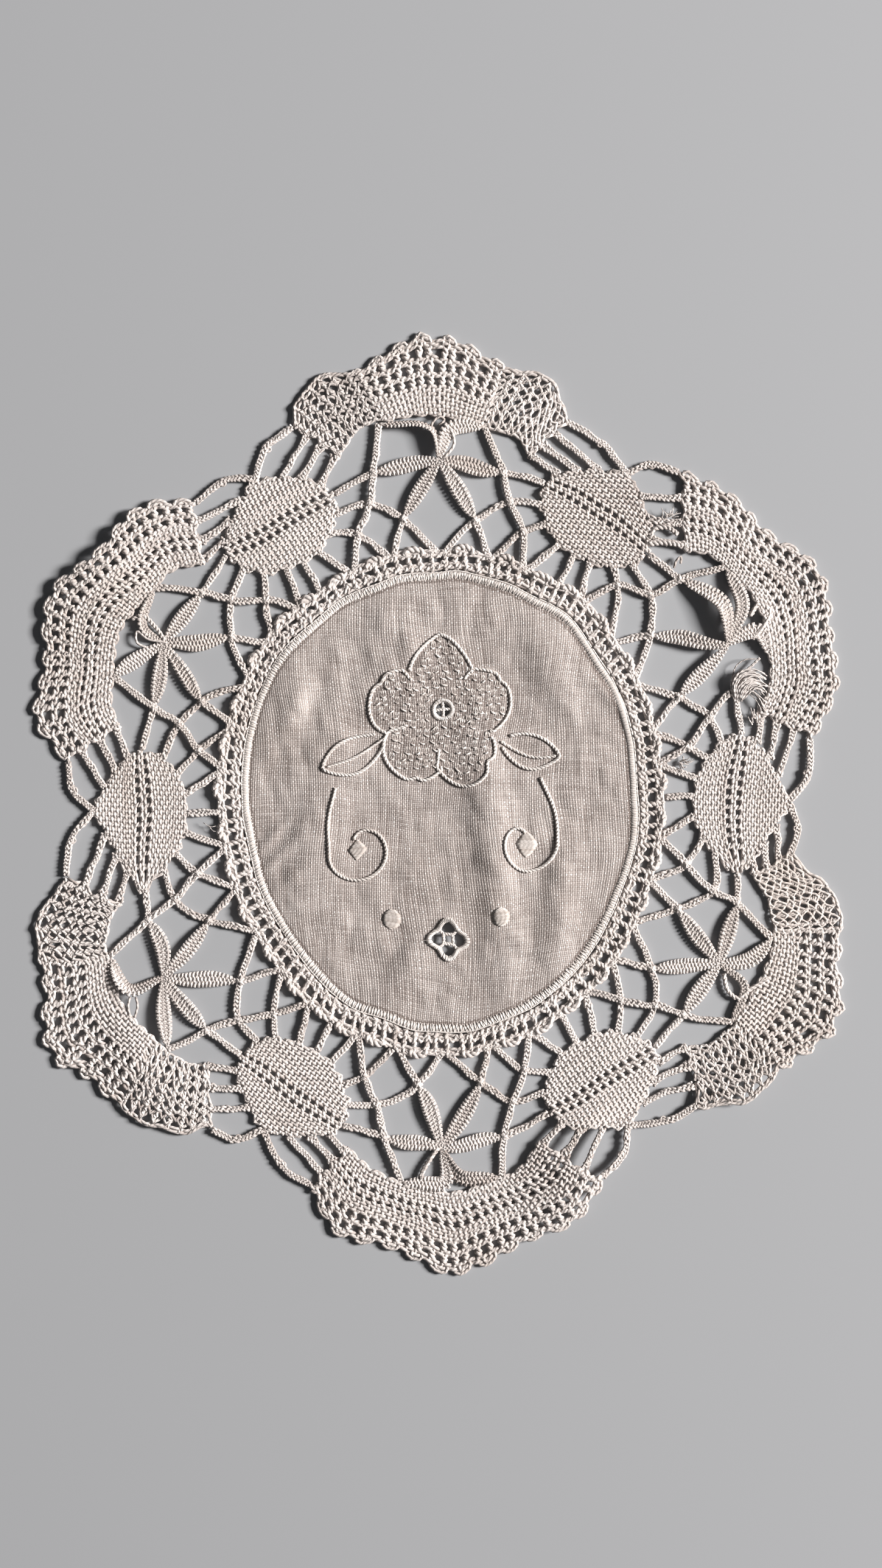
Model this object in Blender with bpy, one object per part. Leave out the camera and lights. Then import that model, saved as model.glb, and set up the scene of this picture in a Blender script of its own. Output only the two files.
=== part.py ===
"""Lace doily: an oval of hemmed linen inside a border of bobbin lace, lying flat.

The lace is a plate with the outline and the larger gaps of the border. It follows a pricking:
a half repeat of named pins, mirrored, pulled into each of six repeats by a row of a table.
Lengths are in millimetres until the last step of each shape. +Z is up and +Y is the long way.
"""

import math

import bmesh
import bpy
import numpy as np
from mathutils import Matrix

MM = 0.001

# ---- driving sizes, millimetres
LINEN_HALF_WIDTH = 36.1
LINEN_HALF_LENGTH = 41.3
LINEN_THICKNESS = 1.0
HEM_WIDTH = 1.7
HEM_HEIGHT = 1.7
HEM_SIDES = 8
SEAM_GAP = 0.35
LACE_THICKNESS = 1.3
FOOTSIDE_WIDTH = 4.2
PLAIT_HALF = 0.8
LEAF_HALF = 1.3
CLOTH_EDGE = 0.25
SMALL_GAP = 75.0
LINK_WIDTH = 1.7
LINK_BOW = 1.6
OVAL_SEGMENTS = 72
GRID_STEP = 26.0
PRICKING_MIDDLE = 60.0
FLOWER_EYE_RADIUS = 1.7
FLOWER_EYE_AT = (0.0, 16.3)
LOBE_RADIUS = 1.35
LOBE_STEP = 2.05
LOBES_AT = (0.7, -24.8)
SCALLOP_DEPTH = 0.75
SCALLOPS_PER_FAN = 10
FLOOR_CLEAR = 0.02

# ---- pins of half a repeat: across to the right and outward from the middle of the doily
PRICKING = {
    "centre": (0.0, 59.2), "side": (11.4, 57.3), "low": (6.3, 48.4), "corner": (9.0, 65.6),
    "c1": (12.2, 51.6), "c2": (14.5, 46.0), "f1": (16.5, 41.0), "f2": (8.8, 43.2),
    "fmid": (0.0, 44.4), "foot": (25.5, 65.7), "haunch": (21.5, 73.3), "shoulder": (11.5, 77.1),
    "crown": (0.0, 82.0), "inner_foot": (16.2, 59.5), "arch": (0.0, 67.6),
}

# ---- how each repeat lies: moved across and outward, stretched, skewed and leant
REPEAT_COLUMNS = ("axis", "across", "outward", "wide", "tall", "skew", "lean")
REPEATS = (
    (90, -0.9, 62.2, 1.024, 0.977, -0.048, 0.009),
    (150, -0.7, 58.3, 1.019, 0.960, -0.106, 0.066),
    (210, -3.2, 59.8, 0.995, 1.066, 0.015, -0.029),
    (270, -1.2, 62.4, 0.998, 0.992, -0.064, 0.046),
    (330, 0.2, 58.7, 0.950, 1.017, -0.072, 0.079),
    (30, -2.1, 59.0, 1.002, 1.037, -0.058, -0.078),
)

# ---- pins that have slipped from the even pattern: repeat, pin, side, across and outward
SLIPPED = (
    (90, "foot", 1, -2.4, 0.4), (90, "haunch", -1, -1.9, -1.0), (90, "f1", 1, -1.3, 0.1),
    (90, "corner", -1, -1.0, 0.9), (270, "centre", 1, 1.1, 0.7), (270, "foot", -1, -2.0, 0.6),
    (270, "haunch", -1, -1.5, -0.9), (270, "side", -1, 1.1, 0.7), (270, "low", 1, -1.2, -0.5),
    (270, "inner_foot", 1, 2.0, -0.7), (270, "f1", 1, -0.5, -1.3), (210, "centre", 1, 1.2, -0.1),
    (210, "foot", -1, -2.0, -1.2), (210, "haunch", 1, -1.9, 1.7), (210, "corner", -1, -1.5, -1.0),
    (150, "side", -1, 1.0, -1.4), (150, "c1", -1, 1.0, -1.2), (150, "c2", -1, 0.2, -1.2),
    (30, "centre", 1, 3.3, 0.4), (30, "c2", -1, -2.5, 1.1), (30, "f1", -1, -2.3, 1.3),
    (30, "f1", 1, -1.6, 0.6), (30, "foot", -1, -2.5, -0.4), (30, "haunch", -1, 0.4, -3.4),
    (30, "haunch", 1, -1.7, 0.9), (30, "shoulder", -1, 0.6, -3.4), (30, "crown", 1, 0.8, -2.3),
    (30, "inner_foot", -1, 1.3, 0.8), (330, "foot", -1, 1.9, -1.0), (330, "haunch", -1, 1.7, 2.0),
    (330, "arch", 1, -1.2, -1.0), (330, "c1", -1, 0.3, 1.0),
)

# ---- where the two outward leaves of each flower bend: left knee, right knee
KNEE_COLUMNS = ("axis", "left_across", "left_outward", "right_across", "right_outward")
KNEES = (
    (90, -1.6, 66.6, 1.2, 66.9), (150, -5.0, 60.6, 0.6, 62.6), (210, -7.5, 62.0, -0.6, 65.6),
    (270, -3.0, 67.0, 3.2, 67.4), (330, -3.6, 62.2, 1.0, 63.4), (30, -4.0, 64.6, 2.2, 64.6),
)

# ---- edge points of a cloth-stitch oval about its own middle, right half
OVAL_EDGE = {
    "tip": (0.0, 9.0), "l2": (4.2, 7.0), "l3": (7.5, 4.8), "l4": (10.3, 2.5), "o1": (11.5, -0.3),
    "o2": (9.8, -3.8), "o3": (7.2, -6.2), "o4": (3.4, -8.0), "bar": (0.0, -8.4),
}
OVAL_COLUMNS = ("axis", "across", "outward", "turn")
OVALS = (
    (60, -1.4, 58.7, -3.0), (120, -0.2, 58.2, 0.0), (180, -1.8, 54.0, 0.0), (240, -2.2, 58.4, -4.0),
    (300, 0.2, 58.0, 2.0), (0, -0.6, 53.5, -3.0),
)

# ---- soft rises of the cloth off the surface: middle, half sizes, turn in degrees and height
RISE_COLUMNS = ("x", "y", "long", "short", "turn", "height")
RISES = (
    (9.0, 6.0, 34.0, 5.0, 96.0, 1.1), (-20.0, 8.0, 26.0, 6.0, 100.0, 0.8),
    (24.0, -66.0, 13.0, 7.0, 70.0, 1.5), (-62.0, 44.0, 14.0, 8.0, 60.0, 1.4),
    (59.0, -50.0, 12.0, 6.0, 20.0, 1.3), (-54.0, -46.0, 12.0, 6.0, 120.0, 1.1),
    (0.0, 63.0, 6.0, 4.0, 0.0, 0.9), (52.0, 33.0, 9.0, 7.0, 40.0, 1.2),
)

COLOURS = {"linen": (0.52, 0.46, 0.41), "lace": (0.58, 0.52, 0.46)}


def rows(columns, table):
    return [dict(zip(columns, row)) for row in table]


def placed(axis, across, outward):
    """A point of a repeat, across to the right when its axis points away, in plan."""
    turn = math.radians(axis)
    return np.array([
        outward * math.cos(turn) + across * math.sin(turn),
        outward * math.sin(turn) - across * math.cos(turn),
    ])


def repeat_pins(row):
    """Every pin of a repeat in plan, by name and side."""
    moved = {(axis, name, side): (across, outward) for axis, name, side, across, outward in SLIPPED}
    pins = {}
    for name, (across, outward) in PRICKING.items():
        for side in (-1, 1):
            u, v = side * across, outward - PRICKING_MIDDLE
            slip_side = side if across else 1
            slip = moved.get((row["axis"], name, slip_side), (0.0, 0.0))
            pins[name, side] = placed(
                row["axis"],
                row["across"] + row["wide"] * u + row["skew"] * v + slip[0],
                row["outward"] + row["tall"] * v + row["lean"] * u + slip[1],
            )
    return pins


def oval_pins(row):
    """Every edge point of an oval in plan, by name and side."""
    turn = math.radians(row["turn"])
    pins = {}
    for name, (across, outward) in OVAL_EDGE.items():
        for side in (-1, 1):
            u, v = side * across, outward
            pins[name, side] = placed(
                row["axis"],
                row["across"] + u * math.cos(turn) - v * math.sin(turn),
                row["outward"] + u * math.sin(turn) + v * math.cos(turn),
            )
    return pins


def between(a, b, share, bow=0.0):
    """The point a share of the way from a to b, moved to the left of the way by a bow."""
    way = b - a
    left = np.array([-way[1], way[0]]) / np.hypot(*way)
    return a + share * way + bow * left


def ring(half_width, half_length, count, start=0.0):
    turns = (np.arange(count) + start) * 2.0 * math.pi / count
    return np.column_stack([half_width * np.cos(turns), half_length * np.sin(turns)])


def lie(points):
    """Height of the cloth's underside off the surface: soft rises, each a bell in plan."""
    height = np.zeros(len(points))
    for rise in rows(RISE_COLUMNS, RISES):
        turn = math.radians(rise["turn"])
        x, y = points[:, 0] - rise["x"], points[:, 1] - rise["y"]
        along = (x * math.cos(turn) + y * math.sin(turn)) / rise["long"]
        beside = (y * math.cos(turn) - x * math.sin(turn)) / rise["short"]
        height += rise["height"] * np.exp(-along**2 - beside**2)
    return np.maximum(height - FLOOR_CLEAR, 0.0)


def trimmed(corners, insets):
    """A gap's outline: each side moved inward by its own inset, and its corners cut."""
    corners = np.array(corners)
    area = np.sum(corners[:, 0] * np.roll(corners[:, 1], -1) - corners[:, 1] * np.roll(corners[:, 0], -1))
    if area < 0.0:
        corners, insets = corners[::-1], list(insets[::-1])
        insets = insets[1:] + insets[:1]
    count = len(corners)
    lines = []
    for k in range(count):
        a, b = corners[k], corners[(k + 1) % count]
        way = (b - a) / np.hypot(*(b - a))
        lines.append((a + insets[k] * np.array([-way[1], way[0]]), way))
    inner = []
    for k in range(count):
        (p, d), (q, e) = lines[k - 1], lines[k]
        cross = d[0] * e[1] - d[1] * e[0]
        step = ((q - p)[0] * e[1] - (q - p)[1] * e[0]) / cross if abs(cross) > 0.05 else 0.0
        inner.append(p + step * d if abs(cross) > 0.05 else q)
    if abs(area) < SMALL_GAP:
        return np.array(inner)
    outline = []
    for k in range(count):
        here, before, after = inner[k], inner[k - 1], inner[(k + 1) % count]
        for other in (before, after):
            reach = np.hypot(*(other - here))
            outline.append(here + (other - here) * min(0.3, 1.0 / max(reach, 0.1)))
    return np.array(outline)


def link_middle(foot, tip, side):
    """The middle of the outermost link between a fan and an oval, bowed outward."""
    return between(foot, tip, 0.5, LINK_BOW * side)


def footside_point(point):
    """The place on the footside's outer edge nearest the line from the middle to a point."""
    half_width = LINEN_HALF_WIDTH + SEAM_GAP + FOOTSIDE_WIDTH
    half_length = LINEN_HALF_LENGTH + SEAM_GAP + FOOTSIDE_WIDTH
    return point / np.hypot(point[0] / half_width, point[1] / half_length)


def repeat_gaps(pins, knees, right_oval, left_oval):
    """The gaps round one flower and between its fan and the ovals at either side."""
    plait, leaf, cloth = PLAIT_HALF, LEAF_HALF, CLOTH_EDGE
    gaps = {}
    centre = pins["centre", 1]
    gaps["heart"] = trimmed(
        [centre, pins["low", 1], pins["fmid", 1], pins["low", -1]], [leaf, plait, plait, leaf])
    for side, oval in ((1, right_oval), (-1, left_oval)):
        def pin(name, side=side):
            return pins[name, side]

        def edge(name, side=side, oval=oval):
            return oval[name, -side]

        foot, inner_foot, corner = pin("foot"), pin("inner_foot"), pin("corner")
        bend = between(corner, inner_foot, 0.5, 1.1 * side)
        second = between(foot, inner_foot, 0.3)
        third = between(foot, inner_foot, 0.62)
        picot = link_middle(foot, edge("tip"), side)
        gaps["shoulder", side] = trimmed(
            [centre, knees[side], corner, pin("side")], [leaf, leaf, plait, leaf])
        gaps["spandrel", side] = trimmed(
            [corner, bend, inner_foot, edge("l4"), edge("o1"), pin("side")],
            [cloth, cloth, 0.7, cloth, plait, plait])
        gaps["wing", side] = trimmed(
            [centre, pin("side"), pin("c1"), pin("low")], [leaf, plait, plait, leaf])
        gaps["nook", side] = trimmed(
            [pin("side"), edge("o1"), edge("o2"), pin("c1")], [plait, cloth, plait, plait])
        gaps["step", side] = trimmed(
            [pin("c1"), pin("c2"), pin("f2"), pin("low")], [plait] * 4)
        gaps["bay", side] = trimmed(
            [pin("c1"), edge("o2"), edge("o3"), pin("c2")], [plait, cloth, plait, plait])
        gaps["lozenge", side] = trimmed(
            [pin("low"), pin("f2"), pin("fmid")], [plait, cloth, plait])
        gaps["wedge", side] = trimmed(
            [pin("c2"), pin("f1"), pin("f2")], [plait, cloth, plait])
        gaps["pane", side] = trimmed(
            [pin("c2"), edge("o3"), edge("o4"), pin("f1")], [plait, cloth, plait, plait])
        gaps["slit", side] = trimmed(
            [foot, picot, edge("tip"), edge("l2"), second],
            [LINK_WIDTH, LINK_WIDTH, cloth, 0.6, cloth])
        gaps["window", side] = trimmed(
            [pin("f1"), edge("o4"), edge("bar"), footside_point(edge("bar"))],
            [plait, cloth, plait, cloth])
        gaps["link", side] = trimmed(
            [second, edge("l2"), edge("l3"), third], [plait, cloth, plait, cloth])
    return gaps


def scalloped(points, bumps):
    """A fan's outer edge drawn smoothly through its pins, with small round scallops."""
    points = np.array(points)
    steps = np.hypot(*np.diff(points, axis=0).T)
    reach = np.concatenate([[0.0], np.cumsum(steps)])
    slopes = np.gradient(points, reach, axis=0)
    shares = np.linspace(0.0, reach[-1], bumps * 4 + 1)
    edge = []
    for at in shares:
        k = min(int(np.searchsorted(reach, at, side="right")) - 1, len(steps) - 1)
        t = (at - reach[k]) / steps[k]
        a, b = points[k], points[k + 1]
        m, n = slopes[k] * steps[k], slopes[k + 1] * steps[k]
        edge.append(
            (2 * t**3 - 3 * t**2 + 1) * a + (t**3 - 2 * t**2 + t) * m
            + (3 * t**2 - 2 * t**3) * b + (t**3 - t**2) * n)
    edge = np.array(edge)
    along = np.gradient(edge, axis=0)
    outward = np.column_stack([along[:, 1], -along[:, 0]]) / np.hypot(*along.T)[:, None]
    phase = shares / reach[-1] * bumps * math.pi
    return edge + outward * SCALLOP_DEPTH * (np.abs(np.sin(phase)) - 0.6)[:, None]


def lace_outline(all_pins, all_ovals):
    """The outer edge of the whole border, once round."""
    outline = []
    for row in rows(REPEAT_COLUMNS, REPEATS):
        axis = row["axis"]
        pins = all_pins[axis]
        tip, next_tip = all_ovals[axis - 30]["tip", 1], all_ovals[(axis + 30) % 360]["tip", 1]
        outline.extend([tip, link_middle(pins["foot", 1], tip, 1)])
        fan = [pins[name, side] for name, side in (
            ("foot", 1), ("haunch", 1), ("shoulder", 1), ("crown", 1),
            ("shoulder", -1), ("haunch", -1), ("foot", -1))]
        outline.extend(scalloped(fan, SCALLOPS_PER_FAN))
        outline.append(link_middle(pins["foot", -1], next_tip, -1))
    return np.array(outline)


def plate(name, outlines, thickness, group):
    """A flat plate with the first outline as its edge and the others as holes."""
    curve = bpy.data.curves.new(name, "CURVE")
    curve.dimensions = "2D"
    curve.fill_mode = "BOTH"
    curve.extrude = thickness * MM / 2.0
    for outline in outlines:
        spline = curve.splines.new("POLY")
        spline.points.add(len(outline) - 1)
        flat = np.zeros((len(outline), 4))
        flat[:, :2], flat[:, 3] = outline * MM, 1.0
        spline.points.foreach_set("co", flat.ravel())
        spline.use_cyclic_u = True
    drawn = bpy.data.objects.new(name + "_curve", curve)
    group.objects.link(drawn)
    bpy.context.view_layer.update()
    seen = drawn.evaluated_get(bpy.context.evaluated_depsgraph_get())
    mesh = bpy.data.meshes.new_from_object(seen)
    mesh.transform(drawn.matrix_world)
    bpy.data.objects.remove(drawn)
    work = bmesh.new()
    work.from_mesh(mesh)
    bmesh.ops.remove_doubles(work, verts=work.verts, dist=1e-6)
    bmesh.ops.triangulate(work, faces=work.faces)
    work.to_mesh(mesh)
    work.free()
    made = bpy.data.objects.new(name, mesh)
    group.objects.link(made)
    return made


def cut_on_grid(made, step):
    """Cut a plate along a square grid, so that it can follow the rises."""
    work = bmesh.new()
    work.from_mesh(made.data)
    for axis in range(2):
        values = [vert.co[axis] for vert in work.verts]
        first, last = math.ceil(min(values) / (step * MM)), math.floor(max(values) / (step * MM))
        for k in range(first, last + 1):
            normal = [0.0, 0.0, 0.0]
            normal[axis] = 1.0
            place = [n * (k * step + 0.37) * MM for n in normal]
            everything = work.verts[:] + work.edges[:] + work.faces[:]
            bmesh.ops.bisect_plane(work, geom=everything, dist=2e-5, plane_co=place, plane_no=normal)
    bmesh.ops.triangulate(work, faces=work.faces)
    work.to_mesh(made.data)
    work.free()


def laid(made, thickness):
    """Set a plate on the surface and let it follow the rises."""
    mesh = made.data
    points = np.empty(len(mesh.vertices) * 3)
    mesh.vertices.foreach_get("co", points)
    points = points.reshape(-1, 3)
    points[:, 2] += thickness * MM / 2.0 + lie(points[:, :2] / MM) * MM
    mesh.vertices.foreach_set("co", points.ravel())
    mesh.update()


def centred(pieces):
    """Put the middle of the whole doily's plan on the origin."""
    corners = np.array([corner[:] for piece in pieces for corner in piece.bound_box])
    middle = (corners.min(axis=0) + corners.max(axis=0)) / 2.0
    for piece in pieces:
        piece.data.transform(Matrix.Translation((-middle[0], -middle[1], 0.0)))
        piece.data.update()


def coat(made, name, colour):
    material = bpy.data.materials.new(name)
    material.use_nodes = True
    shader = material.node_tree.nodes["Principled BSDF"]
    shader.inputs["Base Color"].default_value = (*colour, 1.0)
    shader.inputs["Roughness"].default_value = 0.9
    made.data.materials.clear()
    made.data.materials.append(material)


def make_linen(group, cutters):
    """The linen oval with its eyelets, and the thicker rolled hem joined to it."""
    flat = math.cos(math.pi / HEM_SIDES)
    hem_middle = (HEM_HEIGHT * flat - LINEN_THICKNESS) / 2
    edge = ring(LINEN_HALF_WIDTH - HEM_WIDTH / 2, LINEN_HALF_LENGTH - HEM_WIDTH / 2, OVAL_SEGMENTS)
    eye = ring(FLOWER_EYE_RADIUS, FLOWER_EYE_RADIUS, 10) + FLOWER_EYE_AT
    lobes = [
        ring(LOBE_RADIUS, LOBE_RADIUS, 8) + LOBES_AT + LOBE_STEP * np.array(way)
        for way in ((1, 0), (0, 1), (-1, 0), (0, -1))
    ]
    linen = plate("linen_centre", [edge, eye] + lobes, LINEN_THICKNESS, group)
    cut_on_grid(linen, GRID_STEP)

    path = bpy.data.curves.new("rolled_hem", "CURVE")
    path.dimensions = "3D"
    path.bevel_mode = "OBJECT"
    section = bpy.data.curves.new("hem_section", "CURVE")
    section.dimensions = "2D"
    spline = section.splines.new("POLY")
    rim = ring(HEM_WIDTH / 2, HEM_HEIGHT / 2, HEM_SIDES, 0.5)
    spline.points.add(len(rim) - 1)
    for point, (x, y) in zip(spline.points, rim):
        point.co = (x * MM, y * MM, 0.0, 1.0)
    spline.use_cyclic_u = True
    section_object = bpy.data.objects.new("hem_section", section)
    cutters.objects.link(section_object)
    path.bevel_object = section_object
    spline = path.splines.new("POLY")
    spline.points.add(len(edge) - 1)
    for point, (x, y) in zip(spline.points, edge):
        point.co = (x * MM, y * MM, hem_middle * MM, 1.0)
    spline.use_cyclic_u = True
    hem = bpy.data.objects.new("rolled_hem", path)
    cutters.objects.link(hem)
    bpy.context.view_layer.update()
    seen = hem.evaluated_get(bpy.context.evaluated_depsgraph_get())
    mesh = bpy.data.meshes.new_from_object(seen)
    mesh.transform(hem.matrix_world)
    bpy.data.objects.remove(hem)
    bpy.data.objects.remove(section_object)
    roll = bpy.data.objects.new("rolled_hem", mesh)
    cutters.objects.link(roll)
    roll.hide_render = True
    roll.display_type = "WIRE"
    join = linen.modifiers.new("hem", "BOOLEAN")
    join.operation = "UNION"
    join.solver = "EXACT"
    join.object = roll
    bpy.context.view_layer.update()
    seen = linen.evaluated_get(bpy.context.evaluated_depsgraph_get())
    mesh = bpy.data.meshes.new_from_object(seen)
    linen.modifiers.clear()
    linen.data = mesh
    laid(linen, LINEN_THICKNESS)
    coat(linen, "linen", COLOURS["linen"])
    return linen


def make_lace(group):
    """The lace border as a plate with its gaps."""
    all_pins = {row["axis"]: repeat_pins(row) for row in rows(REPEAT_COLUMNS, REPEATS)}
    all_ovals = {row["axis"]: oval_pins(row) for row in rows(OVAL_COLUMNS, OVALS)}
    inner = ring(LINEN_HALF_WIDTH + SEAM_GAP, LINEN_HALF_LENGTH + SEAM_GAP, OVAL_SEGMENTS)
    outlines = [lace_outline(all_pins, all_ovals), inner]
    for knee in rows(KNEE_COLUMNS, KNEES):
        axis = knee["axis"]
        knees = {
            -1: placed(axis, knee["left_across"], knee["left_outward"]),
            1: placed(axis, knee["right_across"], knee["right_outward"]),
        }
        gaps = repeat_gaps(
            all_pins[axis], knees, all_ovals[(axis - 30) % 360], all_ovals[(axis + 30) % 360])
        outlines.extend(gaps.values())
    lace = plate("lace_edging", outlines, LACE_THICKNESS, group)
    cut_on_grid(lace, GRID_STEP)
    laid(lace, LACE_THICKNESS)
    coat(lace, "lace_thread", COLOURS["lace"])
    return lace


def main():
    for old in list(bpy.data.objects):
        bpy.data.objects.remove(old)
    group = bpy.data.collections.new("lace_doily")
    cutters = bpy.data.collections.new("cutters")
    for collection in (group, cutters):
        bpy.context.scene.collection.children.link(collection)
    centred([make_linen(group, cutters), make_lace(group)])


main()
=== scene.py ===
import math

import bpy
import numpy as np
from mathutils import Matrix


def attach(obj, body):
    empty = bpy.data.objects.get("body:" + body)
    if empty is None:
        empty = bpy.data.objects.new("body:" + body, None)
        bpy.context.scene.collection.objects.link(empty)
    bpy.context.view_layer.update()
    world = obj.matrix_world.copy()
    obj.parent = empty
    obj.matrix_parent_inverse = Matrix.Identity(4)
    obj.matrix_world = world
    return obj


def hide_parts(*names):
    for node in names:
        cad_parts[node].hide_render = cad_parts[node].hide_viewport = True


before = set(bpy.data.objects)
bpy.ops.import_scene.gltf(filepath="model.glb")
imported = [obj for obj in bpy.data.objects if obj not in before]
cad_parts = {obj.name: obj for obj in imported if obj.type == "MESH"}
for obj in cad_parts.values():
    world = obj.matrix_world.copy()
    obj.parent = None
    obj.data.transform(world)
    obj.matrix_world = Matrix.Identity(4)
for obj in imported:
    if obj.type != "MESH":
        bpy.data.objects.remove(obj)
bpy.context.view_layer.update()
print("frame loaded,", len(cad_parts), "nodes")

# plan sizes are millimetres on the pricking, whose middle stands at planShift in the frame
mm = 0.001
planShift = np.array([0.396, 0.2607, 0.0])
up = np.array([0.0, 0.0, 1.0])


def rows(columns, table):
    # each row of a table as a dictionary, by the names of its columns
    return [dict(zip(columns.split(), row)) for row in table]


# the pricking: pins of half a repeat, across to the right and outward from the middle of the
# doily. c1 and c2 are crossings of the net; f1, f2 and fmid stand on the footside
pricking = {
    "centre": (0.0, 59.2), "side": (11.4, 57.3), "low": (6.3, 48.4), "corner": (9.0, 65.6),
    "c1": (12.2, 51.6), "c2": (14.5, 46.0), "f1": (16.5, 41.0), "f2": (8.8, 43.2),
    "fmid": (0.0, 44.4), "foot": (25.5, 65.7), "haunch": (21.5, 73.3), "shoulder": (11.5, 77.1),
    "crown": (0.0, 82.0), "innerFoot": (16.2, 59.5), "arch": (0.0, 67.6),
}
prickingMiddle = 60.0

# how each repeat lies: moved across and outward, stretched, skewed and leant
repeats = rows("axis across outward wide tall skew lean", (
    (90, -0.9, 62.2, 1.024, 0.977, -0.048, 0.009),
    (150, -0.7, 58.3, 1.019, 0.960, -0.106, 0.066),
    (210, -3.2, 59.8, 0.995, 1.066, 0.015, -0.029),
    (270, -1.2, 62.4, 0.998, 0.992, -0.064, 0.046),
    (330, 0.2, 58.7, 0.950, 1.017, -0.072, 0.079),
    (30, -2.1, 59.0, 1.002, 1.037, -0.058, -0.078),
))
# pins that have slipped from the even pattern
slips = rows("axis pin side across outward", (
    (90, "foot", 1, -2.4, 0.4), (90, "haunch", -1, -1.9, -1.0), (90, "f1", 1, -1.3, 0.1),
    (90, "corner", -1, -1.0, 0.9), (90, "innerFoot", -1, -1.1, 0.6),
    (270, "centre", 1, 1.1, 0.7), (270, "foot", -1, -2.0, 0.6),
    (270, "haunch", -1, -1.5, -0.9), (270, "side", -1, 1.1, 0.7), (270, "low", 1, -1.2, -0.5),
    (270, "innerFoot", 1, 2.0, -0.7), (270, "f1", 1, -0.5, -1.3), (210, "centre", 1, 1.2, -0.1),
    (210, "foot", -1, -2.0, -1.2), (210, "haunch", 1, -1.9, 1.7), (210, "corner", -1, -1.5, -1.0),
    (150, "side", -1, 1.0, -1.4), (150, "c1", -1, 1.0, -1.2), (150, "c2", -1, 0.2, -1.2),
    (30, "centre", 1, 3.3, 0.4), (30, "c2", -1, -2.5, 1.1), (30, "f1", -1, -2.3, 1.3),
    (30, "f1", 1, -1.6, 0.6), (30, "foot", -1, -2.5, -0.4), (30, "haunch", -1, 0.4, -3.4),
    (30, "haunch", 1, -1.7, 0.9), (30, "shoulder", -1, 0.6, -3.4), (30, "crown", 1, 0.8, -2.3),
    (30, "innerFoot", -1, 1.3, 0.8), (330, "foot", -1, 1.1, -3.6),
    (330, "haunch", -1, 1.35, 0.7), (330, "innerFoot", -1, -1.0, -2.4),
    (330, "arch", 1, -1.2, -1.0), (330, "c1", -1, 0.3, 1.0),
))
# where the two outward leaves of each flower bend
knees = rows("axis left right", (
    (90, (-1.6, 66.6), (1.2, 66.9)), (150, (-5.0, 60.6), (0.6, 62.6)),
    (210, (-7.5, 62.0), (-0.6, 65.6)), (270, (-3.4, 67.0), (-0.7, 68.0)),
    (330, (-3.6, 62.2), (1.0, 63.4)), (30, (-4.0, 64.6), (2.2, 64.6)),
))
# edge points of a cloth-stitch oval about its own middle, right half: l2 to l4 take the links
# from a fan, o1 to o4 the plaits of the net
ovalEdge = {
    "tip": (0.0, 9.0), "l2": (4.2, 7.0), "l3": (7.5, 4.8), "l4": (10.3, 2.5), "o1": (11.5, -0.3),
    "o2": (9.8, -3.8), "o3": (7.2, -6.2), "o4": (3.4, -8.0), "bar": (0.0, -8.4),
}
# holes is how far the two rows of holes stand outward of the oval's middle
ovals = rows("axis across outward turn holes", (
    (60, -1.4, 58.7, -3.0, 0.8), (120, -0.2, 58.2, 0.0, -0.2), (180, -1.8, 54.0, 0.0, 0.0),
    (240, -2.2, 58.4, -4.0, 0.6), (300, 0.2, 58.0, 2.0, 0.0), (0, -0.6, 53.5, -3.0, -1.0),
))
# soft rises of the cloth off the surface: middle, half sizes, turn in degrees and height
rises = rows("at long short turn height", (
    ((9.0, -8.0), 22.0, 3.8, 96.0, 1.25), ((-22.0, -4.0), 20.0, 5.0, 82.0, 0.8),
    ((21.0, -20.0), 13.0, 3.2, 84.0, 0.9), ((20.0, 24.0), 10.0, 4.0, 112.0, 1.0),
    ((-28.0, 21.0), 9.0, 3.2, 70.0, 0.8), ((-6.0, -30.0), 11.0, 4.0, 60.0, 0.6),
    ((-9.0, 30.0), 10.0, 4.5, 100.0, 0.6), ((-26.0, 18.5), 7.5, 1.7, 62.0, 0.5),
    ((-30.5, -6.0), 4.5, 0.9, 48.0, 0.35), ((-29.0, -9.6), 5.0, 0.9, 43.0, 0.35),
    ((-27.0, -13.5), 4.5, 1.0, 38.0, 0.3), ((29.5, 19.5), 8.0, 1.3, 128.0, 0.4),
    ((24.0, -66.0), 13.0, 7.0, 70.0, 1.5), ((-62.0, 44.0), 14.0, 8.0, 60.0, 1.4),
    ((59.0, -50.0), 12.0, 6.0, 20.0, 1.3), ((-54.0, -46.0), 12.0, 6.0, 120.0, 1.1),
    ((0.0, 63.0), 6.0, 4.0, 0.0, 0.9), ((52.0, 33.0), 9.0, 7.0, 40.0, 1.2),
))
riseCut = 0.02                      # a rise's faint outer edge lies flat
halfAxes = np.array([36.1, 41.3])   # the linen oval's outer edge
# how that edge wanders from an even oval: turns of a wave round it, its cosine and sine parts
hemWander = rows("turns cosine sine", (
    (0, 0.06, 0.0), (1, -0.28, 0.55), (2, -0.27, -0.16), (3, -0.11, 0.43), (4, -0.16, -0.09)))


def turned(u, v, degrees):
    # u * cos - v * sin and u * sin + v * cos
    turn = math.radians(degrees)
    return u * math.cos(turn) - v * math.sin(turn), u * math.sin(turn) + v * math.cos(turn)


def placed(axis, across, outward):
    # outward along the axis and across to the right of it, in plan
    return np.stack(turned(outward, -across, axis), axis=-1)


slipOf = {(row["axis"], row["pin"], row["side"]): row for row in slips}


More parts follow.
